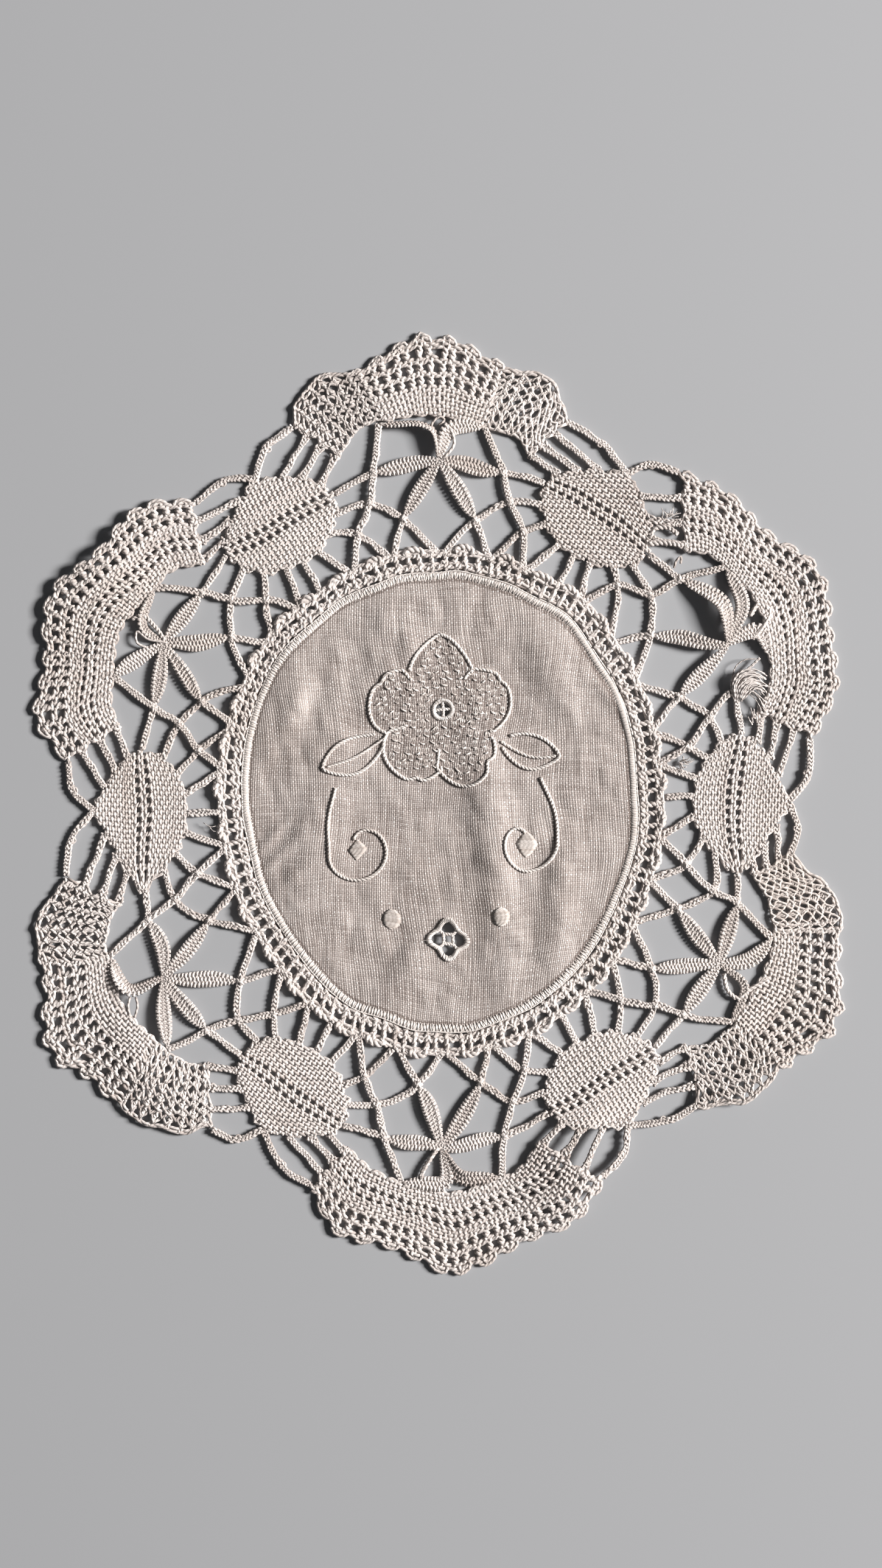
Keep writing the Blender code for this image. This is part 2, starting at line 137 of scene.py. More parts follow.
def repeatPins(row):
    # every pin of a repeat in plan, by name and side
    pins = {}
    for name, (across, outward) in pricking.items():
        for side in (-1, 1):
            u, v = side * across, outward - prickingMiddle
            slip = slipOf.get(
                (row["axis"], name, side if across else 1), {"across": 0.0, "outward": 0.0})
            pins[name, side] = placed(
                row["axis"],
                row["across"] + row["wide"] * u + row["skew"] * v + slip["across"],
                row["outward"] + row["tall"] * v + row["lean"] * u + slip["outward"])
    return pins


allPins = {row["axis"]: repeatPins(row) for row in repeats}
allOvals = {row["axis"]: row for row in ovals}
allKnees = {
    row["axis"]: {
        -1: placed(row["axis"], *row["left"]), 1: placed(row["axis"], *row["right"])}
    for row in knees}


def ovalPlan(row, u, v):
    # a point of an oval from its own middle, turned about it and set in plan
    across, outward = turned(u, v, row["turn"])
    return placed(row["axis"], row["across"] + across, row["outward"] + outward)


def ovalPin(axis, name, side):
    u, v = ovalEdge[name]
    return ovalPlan(allOvals[axis % 360], side * u, v)


def hemSlip(turn):
    # how far the linen's edge stands out at a turn round it
    return sum(
        row["cosine"] * np.cos(row["turns"] * turn) + row["sine"] * np.sin(row["turns"] * turn)
        for row in hemWander)


def hemShare(plan, inset):
    # 1 on the hem's outer edge less the inset
    turn = np.arctan2(plan[:, 1] / halfAxes[1], plan[:, 0] / halfAxes[0])
    axes = halfAxes + (hemSlip(turn) - inset)[:, None]
    return np.linalg.norm(plan, axis=1) / np.linalg.norm(spoke(turn) * axes, axis=1)


def riseAt(plan):
    # height of the cloth's underside: each rise is height * exp(-along^2 - beside^2)
    height = np.zeros(len(plan))
    for rise in rises:
        along, beside = turned(*(plan - rise["at"]).T, -rise["turn"])
        bell = np.exp(-(along / rise["long"]) ** 2 - (beside / rise["short"]) ** 2)
        height += rise["height"] * bell
    return np.maximum(height - riseCut, 0.0)


fineness = 24   # points of a line between two pins


def smooth(x):
    # from 0 to 1 with soft ends: x^2 * (3 - 2x)
    x = np.clip(x, 0.0, 1.0)
    return x * x * (3.0 - 2.0 * x)


def unit(way):
    return way / (np.linalg.norm(way, axis=-1, keepdims=True) + 1e-9)


def spoke(turn):
    # the level way at a turn
    return np.stack([np.cos(turn), np.sin(turn)], axis=-1)


def leftward(way):
    # a level way turned a quarter to its left
    return np.stack([-way[..., 1], way[..., 0]], axis=-1)


def reachOf(path):
    # the way along a path up to each of its points
    return np.concatenate([[0.0], np.cumsum(np.linalg.norm(np.diff(path, axis=0), axis=1))])


def between(a, b, share, bow=0.0):
    # the point a share of the way from a to b, moved to the left of the way by a bow
    way = b - a
    return a + share * way + bow * leftward(way) / np.hypot(*way)


def curveThrough(pins, closed=False):
    # cubic pieces through the pins, each slope taken from the pins at either side
    pins = np.asarray(pins, dtype=float)
    first, last = (2, len(pins) + 2) if closed else (0, len(pins) - 1)
    if closed:
        pins = np.vstack([pins[-2:], pins, pins[:3]])
    reach = reachOf(pins)
    slope = np.gradient(pins, reach, axis=0)
    at = np.linspace(reach[first], reach[last], fineness * (last - first) + 1)
    k = np.clip(np.searchsorted(reach, at, side="right") - 1, 0, len(pins) - 2)
    step = np.diff(reach)[k][:, None]
    t = (at - reach[k])[:, None] / step
    line = (
        (2 * t**3 - 3 * t**2 + 1) * pins[k] + (t**3 - 2 * t**2 + t) * slope[k] * step
        + (3 * t**2 - 2 * t**3) * pins[k + 1] + (t**3 - t**2) * slope[k + 1] * step)
    way = reachOf(line)
    return {"line": line, "way": way, "length": way[-1]}


def readCurve(curve, share):
    # the place at a share of the curve's length
    at = np.asarray(share) * curve["length"]
    return np.stack([np.interp(at, curve["way"], part) for part in curve["line"].T], axis=-1)


def leftOf(line):
    # the level way square to a line, to its left
    return leftward(unit(np.gradient(line[:, :2], axis=0)))


def lifted(plan, height):
    return np.column_stack([plan, np.broadcast_to(height, len(plan))])


def anyPhase(draw, count=None):
    # where in its turn a wave starts
    return draw.uniform(0, 6.28, count)


def makeWaves(seed, count, shortest, longest, size):
    # slow waves over the plan, each with its own length, way and push
    draw = np.random.default_rng(seed)
    length = draw.uniform(shortest, longest, count)
    turn, push = draw.uniform(0, math.tau, (2, count))
    return {
        "k": math.tau / length * spoke(turn).T, "phase": draw.uniform(0, math.tau, count),
        "push": size / math.sqrt(count) * spoke(push)}


def pushOf(plan, waves):
    # the sum of push * sin(k * place + phase)
    return np.sin(plan @ waves["k"] + waves["phase"]) @ waves["push"]


def ownWander(reach, draw, size, shortest=3.0, longest=9.0):
    # a thread's own slow wander, as a sum of three waves along its length
    k = math.tau / draw.uniform(shortest, longest, 3)
    phase = draw.uniform(0, math.tau, 3)
    return size * np.sin(reach[:, None] * k + phase).sum(axis=1) / 1.7


clothWork = {"rippleInset": 0.6, "rippleEdge": 0.12, "ripple": 0.4, "crease": 2.0}
drift = makeWaves(5, 9, 9.0, 34.0, 0.34)      # of the whole doily, sideways
heave = makeWaves(8, 7, 12.0, 30.0, 0.16)     # and up
ripple = makeWaves(72, 14, 5.0, 18.0, 0.34)   # of the linen, up


def settled(path):
    # plan + drift; height + rises + |heave| and, inside the hem, the linen's ripples:
    # ripple * |a| + crease * |a| * |b|, from the two parts of one push
    work, plan = clothWork, path[:, :2]
    inside = smooth((1.0 - hemShare(plan, work["rippleInset"])) / work["rippleEdge"])
    a, b = np.abs(pushOf(plan, ripple)).T
    height = path[:, 2] + riseAt(plan) + np.abs(pushOf(plan, heave)[:, 0])
    height = height + inside * (work["ripple"] * a + work["crease"] * a * b)
    return np.column_stack([plan + pushOf(plan, drift), height])


# a thread's first corner, how its tone differs from others, and how much painted shade a dip
# and the way round it add
threadWork = {"firstCorner": 0.3, "uneven": 0.06, "deepest": 0.28, "dipShade": 0.42, "around": 0.05}


def strand(plan, height, radius, draw, tone=0.0, closed=False, lean=up, squash=0.86):
    # one thread: its middle line, thickness and own shade
    return {
        "path": lifted(plan, height), "radius": radius,
        "tone": draw.normal(1.0, threadWork["uneven"]) + tone, "closed": closed, "lean": lean,
        "squash": squash}


def corners(sides):
    return np.arange(sides) * math.tau / sides + threadWork["firstCorner"]


def sweepThread(thread, sides):
    # a round profile carried along: middle + radius * (cos * side way + squash * sin * up way)
    path, closed = settled(thread["path"]), thread["closed"]
    count = len(path)
    way = unit(
        np.roll(path, -1, axis=0) - np.roll(path, 1, axis=0) if closed
        else np.gradient(path, axis=0))
    side = unit(np.cross(np.broadcast_to(thread["lean"], path.shape), way))
    rise = np.cross(way, side) * thread["squash"]
    turn = corners(sides)[None, :, None]
    radius = np.broadcast_to(thread["radius"], count)[:, None, None]
    ring = path[:, None] + radius * (
        np.cos(turn) * side[:, None] + np.sin(turn) * rise[:, None])
    here = np.arange(count if closed else count - 1)[:, None]
    after = (here + 1) % count
    j = np.arange(sides)
    k = (j + 1) % sides
    quads = np.stack([
        here * sides + j, here * sides + k, after * sides + k, after * sides + j],
        axis=-1).reshape(-1, 4)
    caps = np.stack([j[::-1], (count - 1) * sides + j])[:0 if closed else 2]
    reach = reachOf(path)
    low, high = reach[here], reach[here] + np.gradient(reach)[here]
    around, past = j / sides, (j + 1) / sides
    uv = np.broadcast_arrays(low, around, low, past, high, past, high, around)
    return ring.reshape(-1, 3), quads, caps, np.stack(uv, axis=-1).reshape(-1, 2)


def toneAndShadeOf(thread, sides):
    # painted shade: a thread is lighter on its crests, darker where it dips under the others and
    # on its underside: tone * (1 + dipShade * height over mean + around * sin of the turn round
    # it)
    work, height = threadWork, thread["path"][:, 2]
    over = np.clip(height - height.mean(), -work["deepest"], work["deepest"])[:, None]
    shade = 1 + work["dipShade"] * over + work["around"] * np.sin(corners(sides))
    return (thread["tone"] * shade).ravel()


def putMesh(name, points, quads, caps, uv, tone, material):
    # caps are flat and many-sided and take no place in the uv map
    mesh = bpy.data.meshes.new(name)
    loops = np.concatenate([quads.ravel(), caps.ravel()])
    starts = np.concatenate([
        np.arange(len(quads)) * 4, len(quads) * 4 + np.arange(len(caps)) * caps.shape[-1]])
    mesh.vertices.add(len(points))
    mesh.vertices.foreach_set("co", ((points + planShift) * mm).ravel())
    mesh.loops.add(len(loops))
    mesh.loops.foreach_set("vertex_index", loops)
    mesh.polygons.add(len(starts))
    mesh.polygons.foreach_set("loop_start", starts)
    mesh.polygons.foreach_set("use_smooth", np.arange(len(starts)) < len(quads))
    mesh.update(calc_edges=True)
    spread = np.zeros((len(loops), 2))
    spread[:len(uv)] = uv
    mesh.uv_layers.new(name="along").data.foreach_set("uv", spread.ravel())
    mesh.attributes.new("tone", "FLOAT", "POINT").data.foreach_set("value", tone)
    mesh.materials.append(material)
    made = bpy.data.objects.new(name, mesh)
    bpy.context.scene.collection.objects.link(made)
    return made


def spin(name, threads, material, sides=5):
    # every thread of a piece in one mesh
    rings, quads, caps, uvs = zip(*(sweepThread(thread, sides) for thread in threads))
    first = np.cumsum([0] + [len(ring) for ring in rings[:-1]])
    quads = np.concatenate([part + at for part, at in zip(quads, first)])
    caps = np.concatenate([part + at for part, at in zip(caps, first)])
    tones = np.concatenate([toneAndShadeOf(thread, sides) for thread in threads])
    made = putMesh(name, np.concatenate(rings), quads, caps, np.concatenate(uvs), tones, material)
    print(name, len(threads), "threads,", 2 * len(quads), "triangles")
    return made


def spinRows(name, material, seed, *kinds):
    # a piece whose threads come from the rows of tables, each table with its own function
    draw = np.random.default_rng(seed)
    return spin(
        name, [thread for make, table in kinds for row in table for thread in make(row, draw)],
        material)


def twistOf(
        curve, draw, radius=0.22, apart=0.2, twist=2.2, height=0.55, step=0.36, turn=0.0,
        tone=0.0):
    # two threads round one line: side = apart * cos and height = 0.8 * apart * sin, with one
    # turn for each twist of the way
    share = np.linspace(0.0, 1.0, max(int(curve["length"] / step), 3) + 1)
    line = readCurve(curve, share)
    left, phase = leftOf(line), math.tau * share * curve["length"] / twist + turn
    made = []
    for k in (0, math.pi):
        plan = line + left * (apart * np.cos(phase + k))[:, None]
        rise = 0.8 * apart * np.sin(phase + k)
        made.append(strand(plan, height + rise, radius, draw, tone))
    return made


plaitWork = {
    "half": 0.44, "depth": 0.17, "wave": 3.0, "radius": 0.255, "height": 0.55, "step": 0.3}


def plaitOf(curve, draw, lift=0.0, half=plaitWork["half"], flare=0.0):
    # four threads a quarter turn apart: side = -width * cos(phase), height = -depth * sin(3 *
    # phase); the width flares at both ends with the fourth power of the way from the middle
    work = plaitWork
    share = np.linspace(0.0, 1.0, max(int(curve["length"] / work["step"]), 4) + 1)
    line, reach, swell = readCurve(curve, share), share * curve["length"], np.sin(math.pi * share)
    left = leftOf(line)
    phase = math.tau * reach / work["wave"] * draw.uniform(0.9, 1.15) + anyPhase(draw)
    phase = phase + ownWander(reach, draw, 0.5, 3.0, 8.0)
    width = half * (1 + flare * (2 * share - 1) ** 4)
    width = width * (1 + ownWander(reach, draw, 0.13, 2.5, 7.0))
    wander = ownWander(reach, draw, 0.09) * swell
    made = []
    for turn in np.arange(4) * math.pi / 2:
        plan = line + left * (wander - width * np.cos(phase + turn))[:, None]
        height = work["height"] + lift * swell - work["depth"] * np.sin(3 * (phase + turn))
        thick = work["radius"] * (1 + ownWander(reach, draw, 0.1, 1.5, 4.0))
        made.append(strand(plan, height, thick, draw))
    return made


class Wire:
    # a socket that sums as a number does; each sum adds a Math node
    def __init__(self, tree, socket=None):
        self.tree, self.socket = tree, socket

    def node(self, kind, settings, sockets, out=0):
        made = self.tree.nodes.new(kind)
        for key, value in settings.items():
            setattr(made, key, value)
        for key, value in sockets.items():
            if isinstance(value, Wire):
                self.tree.links.new(value.socket, made.inputs[key])
            else:
                made.inputs[key].default_value = value
        return Wire(self.tree, made.outputs[out])

    def sum(self, operation, a, b=0.0):
        return self.node("ShaderNodeMath", {"operation": operation}, {0: a, 1: b})

    def __add__(self, other): return self.sum("ADD", self, other)
    def __radd__(self, other): return self.sum("ADD", other, self)
    def __sub__(self, other): return self.sum("SUBTRACT", self, other)
    def __rsub__(self, other): return self.sum("SUBTRACT", other, self)
    def __mul__(self, other): return self.sum("MULTIPLY", self, other)
    def __rmul__(self, other): return self.sum("MULTIPLY", other, self)
    def sin(self): return self.sum("SINE", self)
    def abs(self): return self.sum("ABSOLUTE", self)
    def max(self, other): return self.sum("MAXIMUM", self, other)
    def share(self): return self.sum("MINIMUM", self.max(0.0), 1.0)

    def split(self):
        # the parts of a vector
        made = self.node("ShaderNodeSeparateXYZ", {}, {0: self}).socket.node
        return [Wire(self.tree, output) for output in made.outputs]

    def mixed(self, a, b):
        # a colour between a and b by this wire
        return self.node("ShaderNodeMix", {"data_type": "RGBA"}, {0: self, 6: a, 7: b}, 2)

    def noise(self, scale, detail=2.0, rough=0.5):
        return self.node(
            "ShaderNodeTexNoise", {},
            {"Vector": self, "Scale": scale, "Detail": detail, "Roughness": rough})

    def patches(self, scale, cut):
        # 0 over most of the cloth, and up to 1 in cloudy patches
        return (self.noise(scale, 2.0, 0.6) * 3.0 - cut).share()


def newPaint(name, roughness, sheen):
    # a material with its shader, the place on the piece, its map along the thread and its tone
    material = bpy.data.materials.new(name)
    material.use_nodes = True
    shader = material.node_tree.nodes["Principled BSDF"]
    shader.inputs["Roughness"].default_value = roughness
    shader.inputs["Sheen Weight"].default_value = sheen
    shader.inputs["Sheen Roughness"].default_value = 0.5
    shader.inputs["Specular IOR Level"].default_value = 0.25
    wire = Wire(material.node_tree)
    return material, shader, wire.node("ShaderNodeTexCoord", {}, {}, 3)


def readMesh(wire):
    # the piece's own map and its tone
    along = wire.node("ShaderNodeUVMap", {"uv_map": "along"}, {})
    return along, wire.node("ShaderNodeAttribute", {"attribute_name": "tone"}, {}, 2)


def finishPaint(shader, colour, height, distance):
    bump = colour.node(
        "ShaderNodeBump", {}, {"Height": height, "Distance": distance, "Strength": 1.0})
    colour.tree.links.new(colour.socket, shader.inputs["Base Color"])
    colour.tree.links.new(bump.socket, shader.inputs["Normal"])


threadLook = {
    "pale": (0.745, 0.683, 0.655, 1), "deep": (0.33, 0.275, 0.25, 1),
    "stain": (0.55, 0.475, 0.42, 1), "stained": 0.45, "roughness": 0.68, "sheen": 0.2,
    "shade": 0.66, "cloud": 1.1, "toneAndShade": 3.0, "fuzz": 0.5, "ply": 0.95, "plyDepth": 0.00006,
}


def threadPaint(name, look):
    # two plies wound round the thread: a sine of the way over the ply length, plus the way round
    material, shader, place = newPaint(name, look["roughness"], look["sheen"])
    along, tone = readMesh(place)
    reach, around = along.split()[:2]
    # the ply wave is also painted into the colour, darker along the groove between the plies:
    # painted shade
    ply = (reach * (math.tau / look["ply"]) + around * (2 * math.tau)).sin()
    fuzz, cloud = place.noise(5200.0, 3.0, 0.7), place.noise(60.0, 3.0, 0.6)
    # the tone attribute brings each thread's own tone and the painted shade where it dips and on
    # its underside
    shade = look["shade"] - ply * 0.1 + (cloud - 0.5) * look["cloud"] \
        + (tone - 1.0) * look["toneAndShade"] + (fuzz - 0.5) * look["fuzz"]
    colour = shade.share().mixed(look["deep"], look["pale"])
    colour = (place.patches(22.0, 1.45) * look["stained"]).mixed(colour, look["stain"])
    finishPaint(shader, colour, ply * 0.6 + fuzz * 0.9, look["plyDepth"])
    return material


lacePaint = threadPaint("lace_thread_paint", threadLook)

turnAngles = np.radians([35.0, 75.0])   # of the points that round a worker's turn at an edge


def workerSteps(at, gapOver):
    # where a pair of workers is drawn on its way: at each row, half way between two, and once
    # round each other through a hole. Columns: row, how far open, side and height of the turn,
    # whether on a row
    steps = []
    for k in range(len(at)):
        before = at[k] - at[k - 1] if k else 0.0
        after = at[k + 1] - at[k] if k + 1 < len(at) else 0.0
        steps.append((k, 0.72 if max(before, after) > gapOver else 1.0, 0.0, 0.0, 1.0))
        if after > gapOver:
            steps += [(k + 0.25, 0, 0, 1, 0), (k + 0.5, 0, -1, 0, 0), (k + 0.75, 0, 0, -1, 0)]
        elif k + 1 < len(at):
            steps.append((k + 0.5, 1.0, 0.0, 0.0, 0.0))
    return np.array(steps, dtype=float).T


def workerHeight(work, row, number, side, turnHeight, onRow):
    # -wave * cos(half a turn for each row and thread), plus the turns through the holes
    over = np.cos(math.pi * (row + 2 * number + (side + 1) / 2))
    return side * work["ropeHeight"] * turnHeight - work["wave"] * onRow * over


def roundedEnds(a, b, centres, reaches):
    # two points more at either end of a pass: centre + (end - centre) * cos, end + reach * sin
    ends = []
    for at, centre, reach in zip((slice(0, 1), slice(-1, None)), centres, reaches):
        ends.append((
            centre + (a[..., at] - centre) * np.cos(turnAngles),
            b[..., at] + reach * np.sin(turnAngles)))
    return (
        np.concatenate([ends[0][k][..., ::-1], whole, ends[1][k]], axis=-1)
        for k, whole in enumerate((a, b)))


fanWork = {
    "edge": 0.35, "wave": 0.2, "passive": 0.36, "worker": 0.335, "turnOut": 0.85, "turnIn": 0.4,
    "cross": 0.62, "lastPass": 0.972, "rope": 0.29, "ropeHeight": 0.25, "height": 0.55,
    "bulge": 0.022, "bulgeFrom": 0.8, "hole": 1.0, "gather": 0.8, "slackEdge": 0.1,
    "wobble": 0.008, "slackWobble": 0.006, "drift": 0.06, "slackDrift": 0.34, "slackThin": 0.16,
    "fullRope": 0.18, "fullEdge": 0.12, "uneven": 0.26, "bow": 1.1, "evenRows": (0.05, 0.88),
    "evenLast": (0.955, 0.99), "wobbleTurns": (2.0, 7.0), "strayTurns": (18.0, 34.0),
}
# how each kind of fan is worked: rows in a group and their spacing, then the space to the next
# group; slack stretches from end -1 to end 1; full is how the ropes fill out, jog how the
# groups stray
fanKinds = {
    "open": {
        "groups": ((8, 0.62), (2, 0.5), (2, 0.5), (3, 0.46)), "holes": (1.72, 1.72, 1.55, 0.0),
        "pinch": 0.42, "slack": ((-1.0, -0.4), (0.43, 1.0)), "full": 0.3, "fullFrom": 0.0,
        "jog": 0.011},
    "close": {
        "groups": ((5, 0.56), (2, 0.54), (5, 0.5), (2, 0.5), (2, 0.46)),
        "holes": (1.12, 1.12, 1.45, 1.42, 0.0), "pinch": 0.14, "slack": (),
        "full": 0.32, "fullFrom": 0.56, "jog": 0.006},
}
fans = rows("axis kind passes", (
    (90, "open", 27), (150, "close", 28), (210, "open", 28), (270, "close", 27),
    (330, "open", 27), (30, "close", 28)))
slackWaves = makeWaves(21, 12, 3.5, 9.0, 1.0)
linkShares = np.array([0.0, 0.38, 0.70, 1.0])   # where links leave across a fan's end


def fanEdge(pins, names, middle):
    # a curve through the pins of one side, the middle pin and the other side back again
    sides = [[pins[name, side] for name in names] for side in (-1, 1)]
    return curveThrough(sides[0] + [pins[middle, 1]] + sides[1][::-1])


def planFan(row, draw):
    # the rows across a fan, their groups and how each strays
    work, kind, pins = fanWork, fanKinds[row["kind"]], dict(allPins[row["axis"]])
    for side in (-1, 1):
        pins["bend", side] = between(
            pins["corner", side], pins["innerFoot", side], 0.5, work["bow"] * side)
    steps = [work["edge"]]
    for (count, pitch), hole in zip(kind["groups"], kind["holes"]):
        steps += [pitch] * (count - 1) + [hole]
    rung = np.cumsum(steps[:-1])
    count, groups = len(rung), len(kind["groups"])
    return {
        **kind, "passes": row["passes"], "rung": rung, "count": count,
        "wide": rung[-1] + work["edge"],
        "even": np.concatenate([np.linspace(*work["evenRows"], count - 2), work["evenLast"]]),
        "inner": fanEdge(pins, ("innerFoot", "bend", "corner"), "arch"),
        "outer": fanEdge(pins, ("foot", "haunch", "shoulder"), "crown"),
        "group": np.repeat(np.arange(groups), [size for size, pitch in kind["groups"]]),
        # a spare row of phases keeps the draws after it as they are
        "wobble": (draw.uniform(*work["wobbleTurns"], count), anyPhase(draw, (2, count))[0]),
        "stray": (draw.uniform(*work["strayTurns"], groups), *anyPhase(draw, (2, groups)))}


def slackAt(fan, s):
    # 1 where the weave is slack, along a fan from end -1 to end 1
    edge, slack = fanWork["slackEdge"], np.zeros_like(s)
    for start, end in fan["slack"]:
        slack += smooth((s - start) / edge + (start <= -1)) * smooth((end - s) / edge + (end >= 1))
    return slack


def shareOf(fan, row, s):
    # the share across the fan of a row: spaced by the groups, or evenly where it is slack, then
    # strayed by slow sines, bulged by the scallops and drawn towards the links at the ends
    work, slack, number = fanWork, slackAt(fan, s), np.arange(fan["count"])
    share = np.interp(row, number, fan["rung"] / fan["wide"]) * (1 - slack) \
        + np.interp(row, number, fan["even"]) * slack
    near = np.clip(np.round(row).astype(int), 0, fan["count"] - 1)
    turns, phase = (part[near] for part in fan["wobble"])
    share = share + (work["wobble"] + work["slackWobble"] * slack) * np.sin(s * turns + phase)
    turns, phase, second = (part[fan["group"][near]] for part in fan["stray"])
    share = share + fan["jog"] * (1 - slack) * np.clip(share * 3 - 0.8, 0, 1) * (
        np.sin(s * turns + phase) + np.sin(s * 1.7 * turns + second))
    bulge = smooth((share - work["bulgeFrom"]) / (1 - work["bulgeFrom"])) \
        * (0.5 - 0.5 * np.cos(math.pi * (s + 1) * fan["passes"] / 2))
    share = share + work["bulge"] * (1 - slack) * bulge
    goal = linkShares[np.abs(share[..., None] - linkShares).argmin(axis=-1)]
    end = smooth((np.abs(s) - work["lastPass"]) / (1 - work["lastPass"]))
    return share + (goal - share) * work["gather"] * end


def fanPlan(fan, s, t):
    # a share t of the way from the inner to the outer edge, pushed about where it is slack
    plan = (1 - t)[..., None] * readCurve(fan["inner"], (s + 1) / 2) \
        + t[..., None] * readCurve(fan["outer"], (s + 1) / 2)
    size = slackAt(fan, s) * fanWork["slackDrift"] + fanWork["drift"]
    return plan + size[..., None] * pushOf(plan, slackWaves)


def fanPassives(fan, draw):
    # height = wave * cos of half a turn for each pass and row; where the weave is slack each
    # passive crosses the one before it and the one after it by turns
    work, threads, passes = fanWork, [], fan["passes"]
    n = np.arange(-0.5, 2 * passes - 0.49, 0.5)
    s = (n + 0.5) / passes - 1
    slack = slackAt(fan, s)
    for k in range(fan["count"]):
        turn = np.cos(math.pi * (n - 0.5)) * (1 - 2 * (k % 2))
        row = k + slack * work["cross"] * turn * (k < fan["count"] - 2)
        plan = fanPlan(fan, s, shareOf(fan, row, s))
        reach = reachOf(plan)
        aside, rise = ownWander(reach, draw, 1.0), ownWander(reach, draw, 1.0)
        plan = plan + leftOf(plan) * (aside * (0.03 + 0.07 * slack))[:, None]
        height = work["height"] + (1 - slack) * work["wave"] * np.cos(math.pi * (n + k)) \
            + slack * (0.17 * turn + 0.06 * rise)
        thick = work["passive"] * (1 - work["slackThin"] * slack)
        threads.append(strand(plan, height, thick, draw, squash=0.74))
    return threads


def fanWorkers(fan, draw):
    # a pair of workers goes to and fro across the passives, its two threads side by side, round
    # each other through the holes, and turns at either edge
    work, threads, passes = fanWork, [], fan["passes"]
    row, opened, turnSide, turnHeight, onRow = workerSteps(fan["rung"], work["hole"])
    number = np.arange(passes)[:, None]
    back, sign = number % 2 == 1, 1 - 2 * (number % 2)
    middle = (number + 0.5) * 2 / passes - 1 \
        + draw.uniform(-work["uneven"], work["uneven"], (passes, 1)) / passes
    middle, row = np.broadcast_arrays(middle, row)
    share, slack = shareOf(fan, row, middle), slackAt(fan, middle)
    full = fan["full"] * smooth((share - fan["fullFrom"]) / work["fullEdge"])
    middle = middle \
        + sign * fan["pinch"] / passes * smooth((share - 0.6) / 0.4) * (1 - slack)
    ways = (-sign / passes, sign * (1 - fan["pinch"]) / passes)
    centres = middle[:, :1] + ways[0], middle[:, -1:] + ways[1]
    across = 2 / (fan["inner"]["length"] * (1 - share) + fan["outer"]["length"] * share)
    for side in (-sign, sign):
        apart = opened * (0.5 - 0.38 * slack) / passes \
            + (work["rope"] + work["fullRope"] * full) * turnSide * across
        height = workerHeight(work, row, number, side, turnHeight, onRow) * (1 - 0.6 * slack)
        reaches = [
            np.where(side * way < 0, 1.0, 0.45) * reach / fan["wide"] * (1 - 0.9 * loose)
            for way, reach, loose in (
                (-sign, -work["turnIn"], slack[:, :1]), (sign, work["turnOut"], slack[:, -1:]))]
        s, t = roundedEnds(middle + side * apart, share, centres, reaches)
        height = np.pad(height, ((0, 0), (2, 2)))
        thick = np.pad(
            1 + full * (1 - opened) * (1 - slack), ((0, 0), (2, 2)), constant_values=1.0)
        s, t, height, thick = (
            np.where(back, part[:, ::-1], part).ravel() for part in (s, t, height, thick))
        s = np.clip(s, -work["lastPass"], work["lastPass"])
        loose = slackAt(fan, s)
        plan = fanPlan(fan, s, t)
        aside = ownWander(reachOf(plan), draw, 1.0, 2.0, 5.0) * (0.02 + 0.06 * loose)
        thick = work["worker"] * thick * (1 - work["slackThin"] * loose)
        plan = plan + leftOf(plan) * aside[:, None]
        threads.append(strand(plan, work["height"] + height, thick, draw, squash=0.76))
    return threads


def makeFan(row, seed):
    draw = np.random.default_rng(seed)
    fan = planFan(row, draw)
    return spin("fan_%d" % row["axis"], fanPassives(fan, draw) + fanWorkers(fan, draw), lacePaint)


ovalWork = {
    "pitch": 0.525, "hole": 1.3, "pass": 0.865, "passes": 13, "wave": 0.2, "passive": 0.325,
    "worker": 0.31, "height": 0.55, "turn": 0.42, "draw": 0.3, "rope": 0.23, "ropeHeight": 0.18,
    "half": 12.0, "widest": 11.6, "tallest": 9.5, "inset": 0.15,
    "neckFrom": 7.5, "neckTo": 11.5, "neckLong": 3.2, "neckThin": 0.82,
}
ovalNecks = ((0, 1), (180, -1))   # the ends that taper into a neck: oval and side


def splitEdge():
    # the lower and the upper edge of an oval's right half, each from its middle outward
    edge = list(ovalEdge.values())
    line = curveThrough(edge + [(-u, v) for u, v in edge[-2:0:-1]], closed=True)["line"]
    right = line[line[:, 0] >= -1e-6]
    right = right[np.argsort(right[:, 1])]
    split = right[:, 0].argmax()
    return right[:split + 1], right[split:][::-1]


lowEdge, highEdge = splitEdge()


def insideOval(u, v):
    work = ovalWork
    low, high = (np.interp(np.abs(u), edge[:, 0], edge[:, 1]) for edge in (lowEdge, highEdge))
    return (v > low + work["inset"]) & (v < high - work["inset"]) & (np.abs(u) < work["widest"])


def planOval(row, draw):
    # the level of each row, from the two that hold the pair of holes outward
    work, pitch = ovalWork, ovalWork["pitch"]
    above = np.concatenate([[pitch / 2], np.arange(pitch / 2 + work["hole"], work["half"], pitch)])
    above = above[above < work["tallest"]]
    levels = np.concatenate([-above[::-1], above])
    return {**row, "levels": levels, "wobble": anyPhase(draw, len(levels))}


def rowAt(oval, k, u):
    # rows spread from the oval's two ends, v = level * (1 - draw * (u / half)^2), and bend
    # outward where the holes are
    levels, arch = oval["levels"], 1 - (u / ovalWork["half"]) ** 2
    phase = oval["wobble"][np.round(k).astype(int)]
    bend = oval["holes"] * arch + 0.04 * np.sin(u * 0.8 + phase)
    level = np.interp(k, np.arange(len(levels)), levels)
    return level * (1 - ovalWork["draw"] * (1 - arch)) + bend


